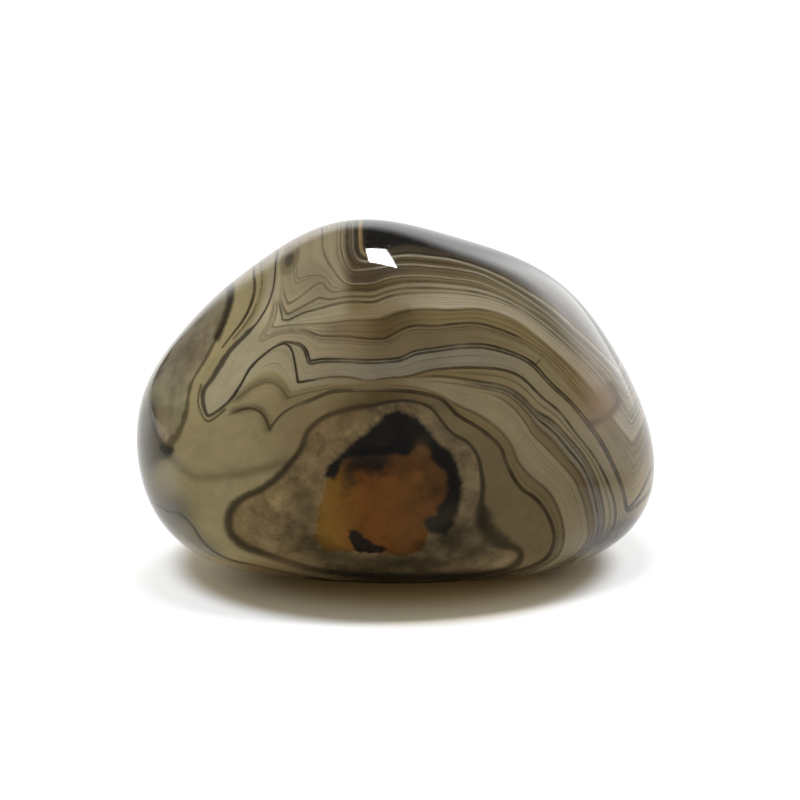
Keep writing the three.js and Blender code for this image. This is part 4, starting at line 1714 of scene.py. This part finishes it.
@dataclass
class Studio:
    """A pale floor with a painted shadow, a bright backdrop, an overhead soft light, a small glint and the
    camera.
    """

    origin: Vector
    elevation: float = math.radians(15.0)
    distance: float = 0.4
    nearest: float = 0.01
    view_width: float = 0.0927
    aim_right: float = 0.000406
    aim_up: float = 0.000151
    floor_size: float = 4.0
    floor_color: Color = (0.40, 0.40, 0.40)
    floor_glow: Color = (0.65, 0.65, 0.65)
    floor_roughness: float = 0.6
    floor_specular: float = 0.2
    # The painted shadow on the floor round the stone: where it lies, its edge, its colors and a faint
    # painted warm glow in it; the warm part stands for light through the stone.
    shade_centre: Point = (-0.0006, -0.001)
    shade_reach: Point = (0.026, 0.0245)
    shade_edge: Veil = Veil(1.06, 0.88)
    shade_color: Color = (0.43, 0.285, 0.11)
    shade_edge_color: Color = (0.62, 0.56, 0.42)
    shade_glow: Color = (0.018, 0.0115, 0.0045)
    warm_shift: float = 0.05
    warm_edge: Veil = Veil(0.9, 0.45)
    card_color: Color = (0.02, 0.019, 0.017)
    card_height: float = 0.0004
    card_start: float = 0.0085
    card_spread: float = 0.2
    card_softness: float = 0.17
    card_sides: Veil = Veil(0.03, 0.15)
    card_back: Veil = Veil(-0.6, 0.2)
    card_tip: float = 0.0005
    least_width: float = 0.001
    window_corners: tuple[Place, ...] = (
        (0.054, 0.460, 0.491),
        (0.101, 0.472, 0.470),
        (0.146, 0.381, 0.538),
        (0.077, 0.388, 0.548),
    )
    window_strength: float = 30.0
    even_light: float = 0.72
    even_front: Veil = Veil(-0.5, 0.5, 0.1)
    backdrop_least: float = 0.03
    backdrop_front: Veil = Veil(-0.2, 0.4)
    backdrop_top: Veil = Veil(0.47, 0.28)
    panel_least: float = 0.15
    panel_left: Veil = Veil(-0.42, -0.24, 0.85)
    panel_right: tuple[Veil, Veil] = (Veil(0.15, 0.3, 0.95), Veil(0.62, 0.42))
    overhead: Lamp = Lamp("overhead_lamp", (0.0, 0.03, 1.1), (0.30, 0.12), 6.5)

    def build(self) -> None:
        """Sets up everything around the stone."""
        self._floor()
        self._dark_card()
        self._window()
        self._world()
        self.overhead.build(self.origin)
        self._camera()
        bpy.context.scene.view_settings.view_transform = "Standard"

    def _sheet(
        self, name: str, corners: Sequence[Sequence[float]], material: bpy.types.Material
    ) -> bpy.types.Object:
        """Adds a flat sheet to the studio.

        Args:
            name: Its name.
            corners: Its corners in order, in metres.
            material: Its material.
        Returns:
            The sheet.
        """
        mesh = bpy.data.meshes.new(name)
        mesh.from_pydata(corners, [], [tuple(range(len(corners)))])
        mesh.materials.append(material)
        sheet = add_object(name, mesh)
        return sheet

    @staticmethod
    def _keep_to_polish(sheet: bpy.types.Object) -> None:
        """Hides a sheet from everything but the polish.

        Args:
            sheet: The sheet.
        """
        sheet.visible_camera = False
        sheet.visible_diffuse = False
        sheet.visible_transmission = False
        sheet.visible_shadow = False

    @staticmethod
    def _square(half: float, height: float) -> list[Place]:
        """A level square's corners."""
        return [(x * half, y * half, height) for x, y in ((-1, -1), (1, -1), (1, 1), (-1, 1))]

    def _floor(self) -> None:
        """A plain pale floor with the stone's shadow painted on it: a warm painted shadow round the stone
        with a faint painted glow in it, and an even glow outside it that lightens the rendered shadow
        there.
        """
        material = bpy.data.materials.new("floor_card")
        material.use_nodes = True
        bench = Bench(material.node_tree)
        along, across, _ = bench.split(bench.wire("ShaderNodeTexCoord", None, None, "Object"))
        wide = (along - self.shade_centre[0]) / self.shade_reach[0]
        deep = (across - self.shade_centre[1]) / self.shade_reach[1]
        near = self.shade_edge.over((wide * wide + deep * deep).math("SQRT"))
        wide = wide - self.warm_shift
        warm = self.warm_edge.over((wide * wide + deep * deep).math("SQRT"))
        # Painted shadow color, warmer near its middle.
        shade = bench.mix(warm, self.shade_edge_color, self.shade_color)
        inputs = material.node_tree.nodes["Principled BSDF"].inputs
        bench.feed(inputs["Base Color"], bench.mix(near, self.floor_color, shade))
        bench.feed(inputs["Emission Color"], bench.mix(near, self.floor_glow, self.shade_glow))
        bench.feed(inputs["Emission Strength"], 1.0)
        bench.feed(inputs["Roughness"], self.floor_roughness)
        bench.feed(inputs["Specular IOR Level"], self.floor_specular)
        self._sheet("floor", self._square(self.floor_size / 2, 0.0), material)

    def _dark_card(self) -> None:
        """A dark card on the floor in front of the stone, whose soft edge leads away to both sides."""
        material, bench = empty_material("dark_card")
        along, across, _ = bench.split(bench.wire("ShaderNodeTexCoord", None, None, "Object"))
        wide, front = abs(along), -across
        over = front - self.card_start - wide * self.card_spread
        solid = (over / (wide * self.card_softness + self.card_tip)).above(-1.0, 1.0)
        far = self.card_sides.over(wide) * self.card_back.over(front / (wide + self.least_width))
        clear = bench.wire("ShaderNodeBsdfTransparent")
        dark = bench.wire("ShaderNodeBsdfDiffuse", None, {"Color": self.card_color})
        inputs = {0: solid.math("MAXIMUM", far), 1: clear, 2: dark}
        card = bench.wire("ShaderNodeMixShader", None, inputs)
        bench.node("ShaderNodeOutputMaterial", None, {"Surface": card})
        corners = self._square(self.floor_size, self.card_height)
        self._keep_to_polish(self._sheet("dark_card", corners, material))

    def _window(self) -> None:
        """A small bright window high behind the stone, which makes its one sharp glint."""
        material, bench = empty_material("window")
        light = {"Color": (1.0, 1.0, 1.0), "Strength": self.window_strength}
        glow = bench.wire("ShaderNodeEmission", None, light)
        bench.node("ShaderNodeOutputMaterial", None, {"Surface": glow})
        self._keep_to_polish(self._sheet("window", self.window_corners, material))

    def _world(self) -> None:
        """White where the camera looks, a low bright backdrop for the polish, even light for the rest."""
        world = bpy.data.worlds.new("studio")
        bpy.context.scene.world = world
        world.use_nodes = True
        world.node_tree.nodes.clear()
        bench = Bench(world.node_tree)
        side, forward, height = bench.split(bench.wire("ShaderNodeTexCoord", None, None, "Generated"))
        paths = bench.node("ShaderNodeLightPath")
        seen = Wire(bench, paths.outputs["Is Camera Ray"])
        mirrored = Wire(bench, paths.outputs["Is Glossy Ray"])
        right_start, right_end = self.panel_right
        right = right_start.over(side) * right_end.over(side)
        panel = self.panel_least + self.panel_left.over(side) + right
        lit_part = self.backdrop_front.over(forward) * self.backdrop_top.over(height)
        backdrop = self.backdrop_least + lit_part * panel
        even = self.even_light + self.even_front.over(forward)
        strength = even + mirrored * (backdrop - even)
        strength = strength + seen * (1.0 - strength)
        lit = bench.node("ShaderNodeBackground", None, {"Color": (1.0, 1.0, 1.0), "Strength": strength})
        bench.node("ShaderNodeOutputWorld", None, {"Surface": lit.outputs[0]})

    def _camera(self) -> None:
        """The camera, looking down on the broad face."""
        back = Vector((0.0, -math.cos(self.elevation), math.sin(self.elevation)))
        up = Vector((0.0, math.sin(self.elevation), math.cos(self.elevation)))
        lens = bpy.data.cameras.new("camera")
        lens.lens = lens.sensor_width * self.distance / self.view_width
        lens.clip_start = self.nearest
        camera = add_object("camera", lens)
        camera.location = self.origin + back * self.distance + up * self.aim_up
        camera.location.x += self.aim_right
        camera.rotation_mode = "QUATERNION"
        camera.rotation_quaternion = (-back).to_track_quat("-Z", "Y")
        bpy.context.scene.camera = camera


def main() -> None:
    """Builds the stone and the studio, and reports the stone."""
    logging.basicConfig(level=logging.INFO, format="%(name)s: %(message)s")
    form = PebbleForm()
    stone = form.build(AgateFinish().build())
    PebblePattern().paint(stone.data, *form.face_points(stone.data))
    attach(stone, "root")
    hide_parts(CAD_NODE)
    LOG.info("%s: %d faces, %d layers", stone.name, len(stone.data.polygons), len(stone.data.attributes))
    Studio(form.face_origin()).build()


if __name__ == "__main__":
    main()
